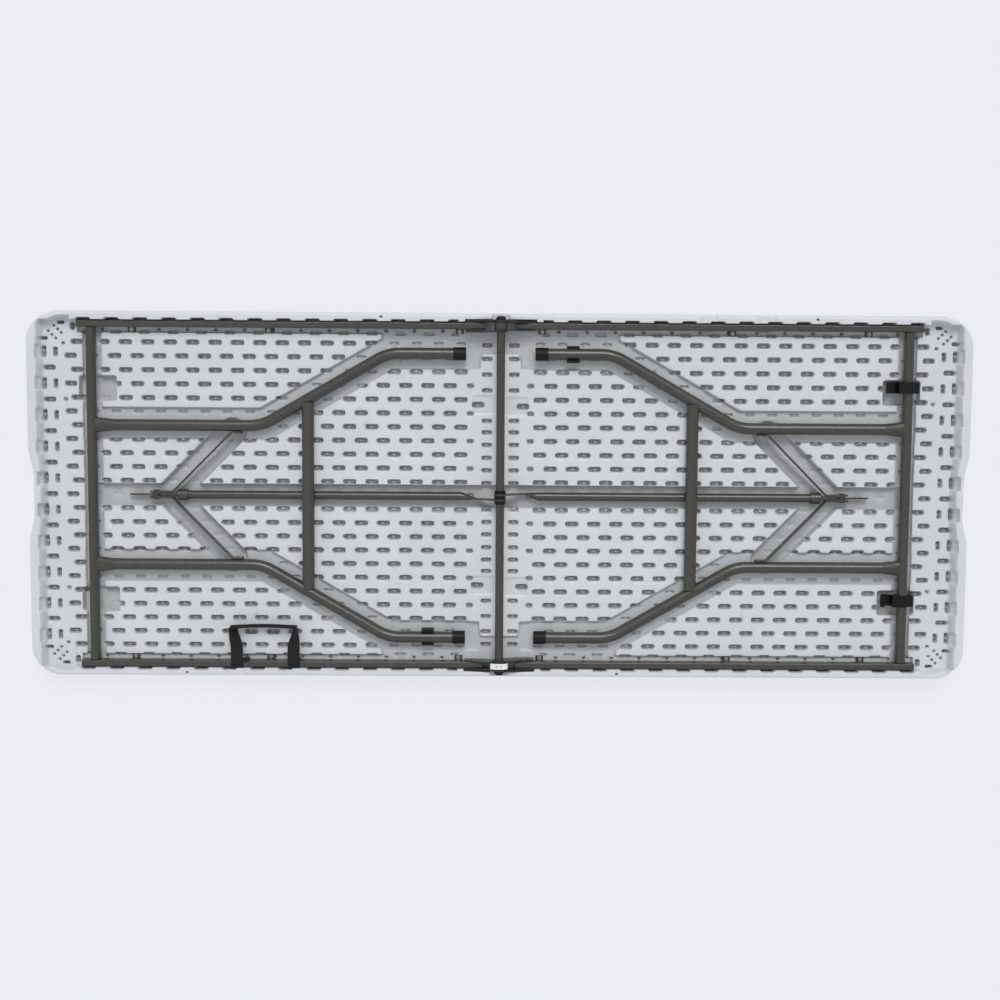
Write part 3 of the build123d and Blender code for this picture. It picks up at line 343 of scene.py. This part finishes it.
def rail_details(x, y, height):
    """Scalloped notches outside each rail, pits and shallow slots inside it, and two vent holes."""
    side = np.abs(y)
    here = (x > RAIL_START + 50) & (x < RAIL_END + 2)
    notch = box_field(repeated(x, NOTCH_START), side, -NOTCH_HALF_LENGTH, NOTCH_HALF_LENGTH,
                      RAIL_INNER_Y, RIM_INNER_Y + 4.2, 3)
    height = np.where(here, sink(height, notch, RAIL_SEAT, 2.0), height)
    pit = np.hypot(repeated(x, PIT_START), side - RAIL_INNER_Y + 3.5) - 2.6
    height = np.where(here, press(height, pit, 8.0, 1.6), height)
    along = np.where(here & (x > 60), repeated(x, RAIL_SLOT_START), AWAY)
    height = tack_off(height, along, side - RAIL_INNER_Y + 9.0, 6.0, 20, 6.5)
    for vent_x, vent_side in VENTS:
        vent = np.hypot(x - vent_x, y - vent_side * VENT_Y) - 2.0
        height = press(height, vent, 12.0, TIGHT_RUN)
    return height


def handle_room(x, y, height):
    """Notches and grooves for the handle; the left half carries it on this side once turned."""
    middle = -(LOOPS_LOW.x + LOOPS_HIGH.x) / 2
    reach = (LOOPS_HIGH.x - LOOPS_LOW.x) / 2 - 11.5
    for x_place in (middle - reach, middle + reach):
        notch = box_field(x, y, x_place - 15, x_place + 15, RAIL_OUTER_Y, PAST_SIDE, 2)
        height = sink(height, notch, NOTCH_FLOOR, TIGHT_RUN)
        groove = box_field(x, y, x_place - 11.8, x_place + 11.8, RAIL_INNER_Y - 1.6, RAIL_OUTER_Y + 1.6)
        height = sink(height, groove, RAIL_SEAT - 1.6, 1.0)
    return height


def latch_pockets(x, y, height):
    """Shallow recesses near the fold, each with one slot in it."""
    for y_low, y_high in LATCH_POCKETS:
        height = press(height, box_field(x, y, 10, 52, y_low, y_high, 5), 2.2, 4.0)
        height = tack_off(height, x - 43, y - (y_low + y_high) / 2, SLOT_DEPTH, 23, 10)
    return height


def relief(x, y):
    """Height of the underside above the work surface."""
    height = recesses(x, y, np.full(x.shape, TOP_Z))
    height = slot_rows(x, y, height)
    height = seam_column(x, y, height)
    height = end_zone(x, y, height)
    height = corner_details(x, y, height)
    height = rail_details(x, y, height)
    height = latch_pockets(x, y, height)
    height = handle_room(x, y, height)
    return np.maximum(height, LEAST_HEIGHT)


FINE = 1.9              # between columns of points
FINE_ROW = 1.4          # between rows of points
END_STRETCH = 120.0     # the outer stretch whose columns follow the end's outline
MOST_TRIANGLES = 180000
PAINTED_SHADE_SPAN = 16.0      # depth below the plateau at which the painted shade in the hollows is at its darkest


def panel_grid():
    """Plan positions of the relief's points: straight columns, stretched to the outer end."""
    straight = np.arange(SEAM_X + SEAM_INSET, END_X - END_STRETCH, FINE)
    spread = np.linspace(0.0, 1.0, int(END_STRETCH / FINE) + 12)[1:]
    middle = SIDE_Y - CORNER_RADIUS
    flat = np.arange(0.0, middle, FINE_ROW)[1:]
    turn = np.linspace(0.0, pi / 2, int(90 / FINE_ROW))
    bend = middle + (CORNER_RADIUS - EDGE_INSET) * np.sin(turn)
    up = np.concatenate([flat, bend])
    rows = np.concatenate([-up[::-1], [0.0], up])
    x_last = straight[-1]
    y = np.repeat(rows[:, None], len(straight) + len(spread), axis=1)
    x = np.empty_like(y)
    x[:, :len(straight)] = straight[None, :]
    x[:, len(straight):] = x_last + spread[None, :] * (end_line(rows) - x_last)[:, None]
    return x, y


def outward(x, y):
    """How far and which way the wall stands out from each point of the rim's edge."""
    corner = (END_X - CORNER_RADIUS, SIDE_Y - CORNER_RADIUS)
    dx = np.maximum(x - corner[0], 0.0)
    dy = np.sign(y) * np.maximum(np.abs(y) - corner[1], 0.0)
    length = np.maximum(np.hypot(dx, dy), 1e-6)
    out = np.stack([dx / length, dy / length], axis=1) * EDGE_INSET
    at_seam = x < SEAM_X + SEAM_INSET + 0.01
    on_side = np.abs(y) > SIDE_Y - EDGE_INSET - 0.01
    out[at_seam & ~on_side] = (-SEAM_INSET, 0.0)
    out[at_seam & on_side, 0] = -SEAM_INSET
    return out


def panel_mesh():
    """The right half of the top as one closed mesh, in millimetres."""
    x, y = panel_grid()
    rows, columns = x.shape
    z = relief(x, y)
    points = np.stack([x, y, z], axis=-1).reshape(-1, 3)
    index = np.arange(rows * columns).reshape(rows, columns)
    quads = np.stack(
        [index[:-1, :-1], index[:-1, 1:], index[1:, 1:], index[1:, :-1]], axis=-1).reshape(-1, 4)
    loop = np.concatenate([
        index[0, :-1], index[:-1, -1], index[-1, :0:-1], index[:0:-1, 0],
    ])
    edge = points[loop]
    out = outward(edge[:, 0], edge[:, 1])
    verts, faces = [points], [quads]
    above, count = loop, len(points)
    for share, level in WALL_PROFILE:
        ring = edge.copy()
        ring[:, :2] += out * share
        ring[:, 2] = np.minimum(level, edge[:, 2] - 0.02 * share)
        here = count + np.arange(len(loop))
        verts.append(ring)
        count += len(loop)
        after, below = np.roll(above, -1), np.roll(here, -1)
        faces.append(np.stack([above, here, below, after], axis=-1))
        above = here
    return np.concatenate(verts), np.concatenate(faces), above[::-1], rows * columns


def thinned(piece):
    """The piece's mesh with the flat stretches of the relief in fewer, larger faces."""
    ratio = MOST_TRIANGLES / len(piece.data.loop_triangles)
    if ratio > 1:
        return piece.data
    thin = piece.modifiers.new("thin", "DECIMATE")
    thin.ratio = ratio
    graph = bpy.context.evaluated_depsgraph_get()
    mesh = bpy.data.meshes.new_from_object(piece.evaluated_get(graph))
    piece.modifiers.clear()
    mesh.name = piece.name
    return mesh


def build_panel(name, body, node, turned):
    """One half of the top, riding on its body in place of the plain solid."""
    points, quads, cap, surface = panel_mesh()
    sign = -1.0 if turned else 1.0
    points = points * np.array([sign, sign, 1.0]) * MM
    mesh = bpy.data.meshes.new(name)
    mesh.from_pydata(points.tolist(), [], quads.tolist() + [cap.tolist()])
    # painted shade: each point's depth below the plateau, later used to darken the plastic's colour in
    # the hollows
    painted_hollow_shade = np.zeros(len(points), dtype=np.float32)
    depth = PLATEAU - points[:surface, 2] / MM
    painted_hollow_shade[:surface] = np.clip(depth / PAINTED_SHADE_SPAN, 0.0, 1.0)
    mesh.attributes.new("painted_hollow_shade", "FLOAT", "POINT").data.foreach_set("value", painted_hollow_shade)
    piece = bpy.data.objects.new(name, mesh)
    bpy.context.collection.objects.link(piece)
    piece.data = thinned(piece)
    piece.data.shade_smooth()
    piece.data.set_sharp_from_angle(angle=radians(45))
    for face in piece.data.polygons:
        face.use_smooth = face.center.z > 0.01 * MM
    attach(piece, body)
    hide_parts(node)
    dress(piece, MATERIALS["top_plastic"])


# ---- Materials ---------------------------------------------------------------------------------

# The mix node's colour sockets share their names with its number sockets, so they go by place.
MIX_A, MIX_B, MIX_RESULT = 6, 7, 2
FRAME_TONE = 0.043
HINGE_TONE = 0.012


class Nodes:
    """Short names for building one material's node tree."""

    def __init__(self, name):
        self.material = bpy.data.materials.new(name)
        self.material.use_nodes = True
        self.tree = self.material.node_tree
        self.shader = self.tree.nodes["Principled BSDF"]
        self.coords = self.tree.nodes.new("ShaderNodeTexCoord").outputs["Object"]

    def put(self, kind, **settings):
        node = self.tree.nodes.new(kind)
        for key, value in settings.items():
            setattr(node, key, value)
        return node

    def link(self, source, target):
        self.tree.links.new(source, target)

    def set(self, **values):
        for key, value in values.items():
            self.shader.inputs[key.replace("_", " ")].default_value = value

    def noise(self, scale, detail=3.0, roughness=0.5, coords=None):
        node = self.put("ShaderNodeTexNoise")
        node.inputs["Scale"].default_value = scale
        node.inputs["Detail"].default_value = detail
        node.inputs["Roughness"].default_value = roughness
        self.link(coords or self.coords, node.inputs["Vector"])
        return node.outputs["Fac"]

    def ramp(self, factor, stops):
        node = self.put("ShaderNodeValToRGB")
        elements = node.color_ramp.elements
        while len(elements) < len(stops):
            elements.new(0.5)
        for element, (position, colour) in zip(elements, stops):
            element.position = position
            element.color = (*colour, 1.0) if len(colour) == 3 else colour
        self.link(factor, node.inputs["Fac"])
        return node.outputs["Color"]

    def span(self, factor, low, high):
        node = self.put("ShaderNodeMapRange")
        node.inputs["To Min"].default_value = low
        node.inputs["To Max"].default_value = high
        self.link(factor, node.inputs["Value"])
        return node.outputs["Result"]

    def bump(self, height, strength, distance, under=None):
        node = self.put("ShaderNodeBump")
        node.inputs["Strength"].default_value = strength
        node.inputs["Distance"].default_value = distance
        self.link(height, node.inputs["Height"])
        if under is not None:
            self.link(under, node.inputs["Normal"])
        return node.outputs["Normal"]

    def finish(self, colour, roughness, normal):
        self.link(colour, self.shader.inputs["Base Color"])
        self.link(roughness, self.shader.inputs["Roughness"])
        self.link(normal, self.shader.inputs["Normal"])
        return self.material


def grey(value, warmth=0.0):
    """A grey, a little warmer where warmth is above zero."""
    return (value * (1 + warmth), value, value * (1 - warmth))


def top_plastic():
    """Blow-moulded polyethylene: pale, faintly clouded, fine-grained, with painted shade that darkens it
    in the hollows.
    """
    n = Nodes("top_plastic")
    cloud = n.noise(9.0, 3.0)
    grain = n.noise(1400.0, 2.0, 0.6)
    colour = n.ramp(cloud, ((0.3, (0.555, 0.580, 0.590)), (0.7, (0.600, 0.622, 0.632))))
    rough = n.span(n.noise(60.0, 2.0), 0.34, 0.46)
    normal = n.bump(grain, 0.25, 0.0003, n.bump(n.noise(35.0, 2.0), 0.12, 0.0012))
    painted_hollow_shade = n.put("ShaderNodeAttribute", attribute_name="painted_hollow_shade").outputs["Fac"]
    # painted shade: the colour is multiplied darker the deeper the point lies below the plateau
    tint = n.ramp(painted_hollow_shade, (
        (0.0, (1.0, 1.0, 1.0)), (0.5, (0.80, 0.80, 0.79)), (1.0, (0.74, 0.735, 0.725)),
    ))
    colour_with_painted_shade = n.put("ShaderNodeMix", data_type="RGBA", blend_type="MULTIPLY")
    colour_with_painted_shade.inputs["Factor"].default_value = 1.0
    n.link(colour, colour_with_painted_shade.inputs[MIX_A])
    n.link(tint, colour_with_painted_shade.inputs[MIX_B])
    n.set(Specular_IOR_Level=0.45)
    return n.finish(colour_with_painted_shade.outputs[MIX_RESULT], rough, normal)


def frame_paint(name="frame_paint", value=FRAME_TONE):
    """Hammertone powder coat on steel tube."""
    n = Nodes(name)
    dimples = n.put("ShaderNodeTexVoronoi", feature="SMOOTH_F1")
    dimples.inputs["Scale"].default_value = 420.0
    dimples.inputs["Smoothness"].default_value = 0.6
    n.link(n.coords, dimples.inputs["Vector"])
    cloud = n.noise(260.0, 4.0, 0.65)
    tint = (value, value * 0.96, value * 0.78)
    colour = n.ramp(cloud, ((0.32, [c * 0.70 for c in tint]), (0.68, [c * 1.32 for c in tint])))
    rough = n.span(n.noise(300.0, 2.0), 0.30, 0.44)
    normal = n.bump(dimples.outputs["Distance"], 0.35, 0.0006, n.bump(n.noise(900.0), 0.15, 0.0003))
    n.set(Metallic=0.2, Coat_Weight=0.3, Coat_Roughness=0.15)
    return n.finish(colour, rough, normal)


def black_plastic():
    """Injection-moulded black nylon with a spark-eroded grain and pale scuffs."""
    n = Nodes("black_plastic")
    scuff = n.noise(130.0, 5.0, 0.7)
    colour = n.ramp(scuff, ((0.5, grey(0.0035)), (0.8, grey(0.011))))
    rough = n.span(n.noise(200.0), 0.38, 0.6)
    normal = n.bump(n.noise(1500.0, 2.0), 0.3, 0.0003)
    n.set(Specular_IOR_Level=0.22)
    return n.finish(colour, rough, normal)


def zinc():
    """Bright zinc plating with faint blotches and a fine grain."""
    n = Nodes("zinc")
    colour = n.ramp(n.noise(240.0, 4.0), ((0.3, (0.20, 0.20, 0.20)), (0.7, (0.42, 0.42, 0.41))))
    rough = n.span(n.noise(500.0, 3.0), 0.24, 0.44)
    normal = n.bump(n.noise(1800.0, 2.0), 0.2, 0.0002)
    n.set(Metallic=1.0)
    return n.finish(colour, rough, normal)


def webbing():
    """Black nylon webbing: picks across one way and ribs across the other."""
    n = Nodes("webbing")
    picks = n.put("ShaderNodeTexWave", bands_direction="Y")
    picks.inputs["Scale"].default_value = 190.0
    picks.inputs["Distortion"].default_value = 1.2
    n.link(n.coords, picks.inputs["Vector"])
    ribs = n.put("ShaderNodeTexWave", bands_direction="X")
    ribs.inputs["Scale"].default_value = 150.0
    ribs.inputs["Distortion"].default_value = 0.8
    n.link(n.coords, ribs.inputs["Vector"])
    colour = n.ramp(picks.outputs["Fac"], ((0.2, grey(0.004)), (0.9, grey(0.012))))
    rough = n.span(n.noise(400.0), 0.6, 0.85)
    normal = n.bump(picks.outputs["Fac"], 0.6, 0.0005, n.bump(ribs.outputs["Fac"], 0.4, 0.0004))
    n.set(Sheen_Weight=0.08, Sheen_Roughness=0.5, Specular_IOR_Level=0.25)
    return n.finish(colour, rough, normal)


def label_film():
    """White blank film, slightly creased and yellowed."""
    n = Nodes("label_film")
    colour = n.ramp(n.noise(80.0), ((0.3, (0.72, 0.71, 0.68)), (0.7, (0.80, 0.80, 0.78))))
    rough = n.span(n.noise(300.0), 0.3, 0.45)
    return n.finish(colour, rough, n.bump(n.noise(150.0), 0.2, 0.0004))


def label_ink():
    """Orange dots on the hinge label."""
    n = Nodes("label_ink")
    colour = n.ramp(n.noise(700.0), ((0.3, (0.55, 0.17, 0.03)), (0.7, (0.68, 0.25, 0.06))))
    rough = n.span(n.noise(500.0), 0.4, 0.55)
    return n.finish(colour, rough, n.bump(n.noise(900.0), 0.2, 0.0002))


MATERIALS = {
    "top_plastic": top_plastic(), "frame_paint": frame_paint(), "black_plastic": black_plastic(),
    "zinc": zinc(), "webbing": webbing(), "label_film": label_film(),
}
DARK_STEEL = frame_paint("hinge_paint", HINGE_TONE)
INK = label_ink()


def dress(piece, material):
    """Give a piece one material."""
    piece.data.materials.clear()
    piece.data.materials.append(material)


def dress_nodes():
    """A procedural material on every CAD node: frame paint unless its name says otherwise."""
    by_word = (
        ("top_panel", "top_plastic"), ("rivets", "zinc"), ("screws", "zinc"),
        ("clip", "black_plastic"), ("caps", "black_plastic"), ("bushes", "black_plastic"),
        ("label", "label_film"), ("handle", "webbing"),
    )
    for name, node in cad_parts.items():
        found = [material for word, material in by_word if word in name]
        dress(node, MATERIALS[found[0] if found else "frame_paint"])
        if "hinge" in name and "label" not in name and "rivets" not in name:
            dress(node, DARK_STEEL)


dress_nodes()
for half, turned in (("right", False), ("left", True)):
    build_panel(f"{half}_moulded_top", f"{half}_half", f"{half}_top_panel", turned)

# ---- Webbing handle ----------------------------------------------------------------------------


def ribbon(name, centres, across, thickness, body):
    """A flat band along a line of centres, with the half-width vector at each."""
    bm = bmesh.new()
    rings = []
    for i, (centre, half) in enumerate(zip(centres, across)):
        ahead = centres[min(i + 1, len(centres) - 1)] - centres[max(i - 1, 0)]
        normal = half.cross(ahead).normalized() * thickness / 2
        corners = (centre - half + normal, centre + half + normal,
                   centre + half - normal, centre - half - normal)
        rings.append([bm.verts.new(p * MM) for p in corners])
    for before, after in zip(rings, rings[1:]):
        for k in range(4):
            bm.faces.new((before[k], before[(k + 1) % 4], after[(k + 1) % 4], after[k]))
    bm.faces.new(rings[0][::-1])
    bm.faces.new(rings[-1])
    bmesh.ops.recalc_face_normals(bm, faces=bm.faces)
    mesh = bpy.data.meshes.new(name)
    bm.to_mesh(mesh)
    bm.free()
    piece = bpy.data.objects.new(name, mesh)
    bpy.context.collection.objects.link(piece)
    bevel = piece.modifiers.new("soft_edges", "BEVEL")
    bevel.width = 0.3 * MM
    bevel.segments = 2
    bevel.limit_method = "ANGLE"
    dress(piece, MATERIALS["webbing"])
    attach(piece, body)
    return piece


FLAT_SHARE = 0.42       # how much of a strap lies flat before it starts to twist
RAIL_FACE_Y = -RAIL_INNER_Y + 1.5
STRAP_HALF_WIDTH = 11.5
STRAP_THICKNESS = 1.7
STRAP_STEPS = 28
GRIP_HALF_HEIGHT = 9.8
GRIP_THICKNESS = 6.4
GRIP_OVERHANG = (12.5, 5.0)    # past the left strap's middle and past the right one's
TAB_LENGTH = 13.0
TAB_HALF_WIDTH = 4.8
TAB_STEPS = 12
# Strap, its lean, its twist in degrees and how far its free end shifts sideways.
STRAPS = (("left", -1, 52, 8.5), ("right", 1, 66, 4.0))


def build_handle():
    """Two straps from the rail, flat as far as the rim's edge, and a folded grip on edge."""
    strap_z = STRAP_HIGH.z - 0.9
    reach = STRAP_HIGH.y - STRAP_LOW.y
    base_y = STRAP_LOW.y + 1.0
    first = STRAP_LOW.x + STRAP_HALF_WIDTH
    second = STRAP_HIGH.x - STRAP_HALF_WIDTH
    for x, (place, lean, twist, shift) in zip((first, second), STRAPS):
        centres, across = [], []
        for k in range(STRAP_STEPS + 1):
            t = k / STRAP_STEPS
            free = float(smooth((t - FLAT_SHARE) / (1.0 - FLAT_SHARE)))
            turn = radians(twist) * free * lean
            ripple = 2.0 * sin(9.0 * pi * t) * free * (1.0 - free)
            centres.append(Vector((
                x + lean * shift * free, base_y + (reach - 1.5) * t, strap_z - 6.5 * free + ripple)))
            width = STRAP_HALF_WIDTH * (1.0 - 0.12 * free)
            across.append(Vector((cos(turn), 0.0, sin(turn))) * width)
        ribbon(f"handle_strap_{place}", centres, across, STRAP_THICKNESS, "handle")
    centres, across = [], []
    start = first - GRIP_OVERHANG[0]
    length = second - first + sum(GRIP_OVERHANG)
    for k in range(STRAP_STEPS + 1):
        t = k / STRAP_STEPS
        bow = 2.6 * sin(pi * t)
        centres.append(Vector((start + length * t, STRAP_HIGH.y - 1.0 + bow, strap_z - 8.6)))
        across.append(Vector((0.0, 0.12, 1.0)).normalized() * GRIP_HALF_HEIGHT)
    grip = ribbon("handle_grip", centres, across, GRIP_THICKNESS, "handle")
    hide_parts("handle_strap")
    build_strap_tab(first + STRAP_HALF_WIDTH + 0.8)


def build_strap_tab(x):
    """The loop's loose end, which lies along the rail beside the strap."""
    centres, across = [], []
    for k in range(TAB_STEPS + 1):
        t = k / TAB_STEPS
        z = LOOPS_HIGH.z - 0.2 + 1.6 * t * t
        centres.append(Vector((x + TAB_LENGTH * t, RAIL_FACE_Y + 3.0 * t, z)))
        across.append(Vector((0.0, cos(0.5 * t), sin(0.5 * t))) * TAB_HALF_WIDTH)
    ribbon("handle_loop_end", centres, across, 1.3, "left_half")


build_handle()


def disc_piece(name, centre, normal, radius, thickness, material, body):
    """A thin round piece lying on a surface."""
    bm = bmesh.new()
    bmesh.ops.create_cone(
        bm, cap_ends=True, segments=28, radius1=radius * MM, radius2=0.9 * radius * MM,
        depth=thickness * MM)
    turn = Vector((0, 0, 1)).rotation_difference(normal).to_matrix().to_4x4()
    bm.transform(Matrix.Translation(centre * MM) @ turn)
    mesh = bpy.data.meshes.new(name)
    bm.to_mesh(mesh)
    bm.free()
    piece = bpy.data.objects.new(name, mesh)
    bpy.context.collection.objects.link(piece)
    dress(piece, material)
    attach(piece, body)


DOT_OFFSET = 4.0
DOT_RADIUS = 1.9
DOT_THICKNESS = 0.16


def build_label_dots():
    """Two plain dots on the hinge label, tilted to lie on its curve."""
    low, high = box_mm("hinge_label")
    middle_y = (low.y + high.y) / 2
    for place, x in (("left", -DOT_OFFSET), ("right", DOT_OFFSET)):
        tilt = Vector((x / LABEL_RADIUS, 0.0, 1.0)).normalized()
        drop = LABEL_RADIUS - (LABEL_RADIUS ** 2 - x ** 2) ** 0.5
        centre = Vector((x, middle_y, high.z - drop + 0.02))
        disc_piece(f"label_dot_{place}", centre, tilt, DOT_RADIUS, DOT_THICKNESS, INK,
                   "left_half")


build_label_dots()

# ---- Floor, light and camera -------------------------------------------------------------------

BACKDROP_RADIUS = 29.0
BACKDROP_HEIGHT = 8.0
FLOOR_SIZE = 60.0
FLOOR_Z = -0.0015
PALE = (0.838, 0.846, 0.888, 1.0)    # the tone that floor, backdrop and world share
# Name, direction the light comes from, the lamp's angle in degrees and its strength.
LAMPS = (("key", (0.1, 0.80, 1.0), 28.0, 1.65), ("fill", (-0.5, -0.7, 1.0), 80.0, 0.25))
LENS = 52.2
SENSOR_WIDTH = 36.0
CAMERA_PLACE = (-0.024, 0.230, 2.804)
CAMERA_TURNS = (("Z", -0.385), ("X", 4.87), ("Y", 0.50))


def floor_material():
    """Pale seamless paper that is also lit from within, so shadows on it stay faint."""
    n = Nodes("pale_floor")
    n.set(Base_Color=(0.12, 0.12, 0.125, 1.0), Roughness=0.9, Specular_IOR_Level=0.0)
    n.set(Emission_Color=PALE, Emission_Strength=0.85)
    return n.material


def build_backdrop():
    """A low pale wall far round the floor, so that low views end in the same tone."""
    bm = bmesh.new()
    bmesh.ops.create_circle(bm, segments=96, radius=BACKDROP_RADIUS)
    raised = bmesh.ops.extrude_edge_only(bm, edges=list(bm.edges))["geom"]
    tops = [part for part in raised if isinstance(part, bmesh.types.BMVert)]
    bmesh.ops.translate(bm, verts=tops, vec=(0.0, 0.0, BACKDROP_HEIGHT))
    mesh = bpy.data.meshes.new("backdrop")
    bm.to_mesh(mesh)
    bm.free()
    backdrop = bpy.data.objects.new("backdrop", mesh)
    bpy.context.collection.objects.link(backdrop)
    n = Nodes("pale_backdrop")
    n.set(Base_Color=(0.0, 0.0, 0.0, 1.0), Roughness=1.0, Specular_IOR_Level=0.0)
    n.set(Emission_Color=PALE, Emission_Strength=1.0)
    mesh.materials.append(n.material)


def build_stage():
    """Floor, world and lamps."""
    bpy.ops.mesh.primitive_plane_add(size=FLOOR_SIZE, location=(0.0, 0.0, FLOOR_Z))
    floor = bpy.context.object
    floor.name = "floor"
    floor.data.materials.append(floor_material())
    world = bpy.data.worlds.new("studio")
    bpy.context.scene.world = world
    world.use_nodes = True
    background = world.node_tree.nodes["Background"]
    background.inputs["Color"].default_value = PALE
    background.inputs["Strength"].default_value = 0.70
    for name, place, angle, strength in LAMPS:
        lamp = bpy.data.lights.new(name, "SUN")
        lamp.angle = radians(angle)
        lamp.energy = strength
        rig = bpy.data.objects.new(name, lamp)
        bpy.context.collection.objects.link(rig)
        rig.location = place
        rig.rotation_euler = (-Vector(place)).to_track_quat("-Z", "Y").to_euler()


def build_camera():
    """A normal lens high above the table, set a little towards its back and tilted to its middle."""
    data = bpy.data.cameras.new("camera")
    data.lens = LENS
    data.sensor_width = SENSOR_WIDTH
    data.clip_end = 200.0
    camera = bpy.data.objects.new("camera", data)
    bpy.context.collection.objects.link(camera)
    about_z, about_x, about_y = [
        Matrix.Rotation(radians(angle), 3, axis) for axis, angle in CAMERA_TURNS]
    tilt = about_z @ about_x @ about_y
    place = Matrix.Translation(CAMERA_PLACE)
    camera.matrix_world = place @ tilt.transposed().to_4x4()
    bpy.context.scene.camera = camera


build_stage()
build_backdrop()
build_camera()
bpy.context.scene.view_settings.view_transform = "Standard"
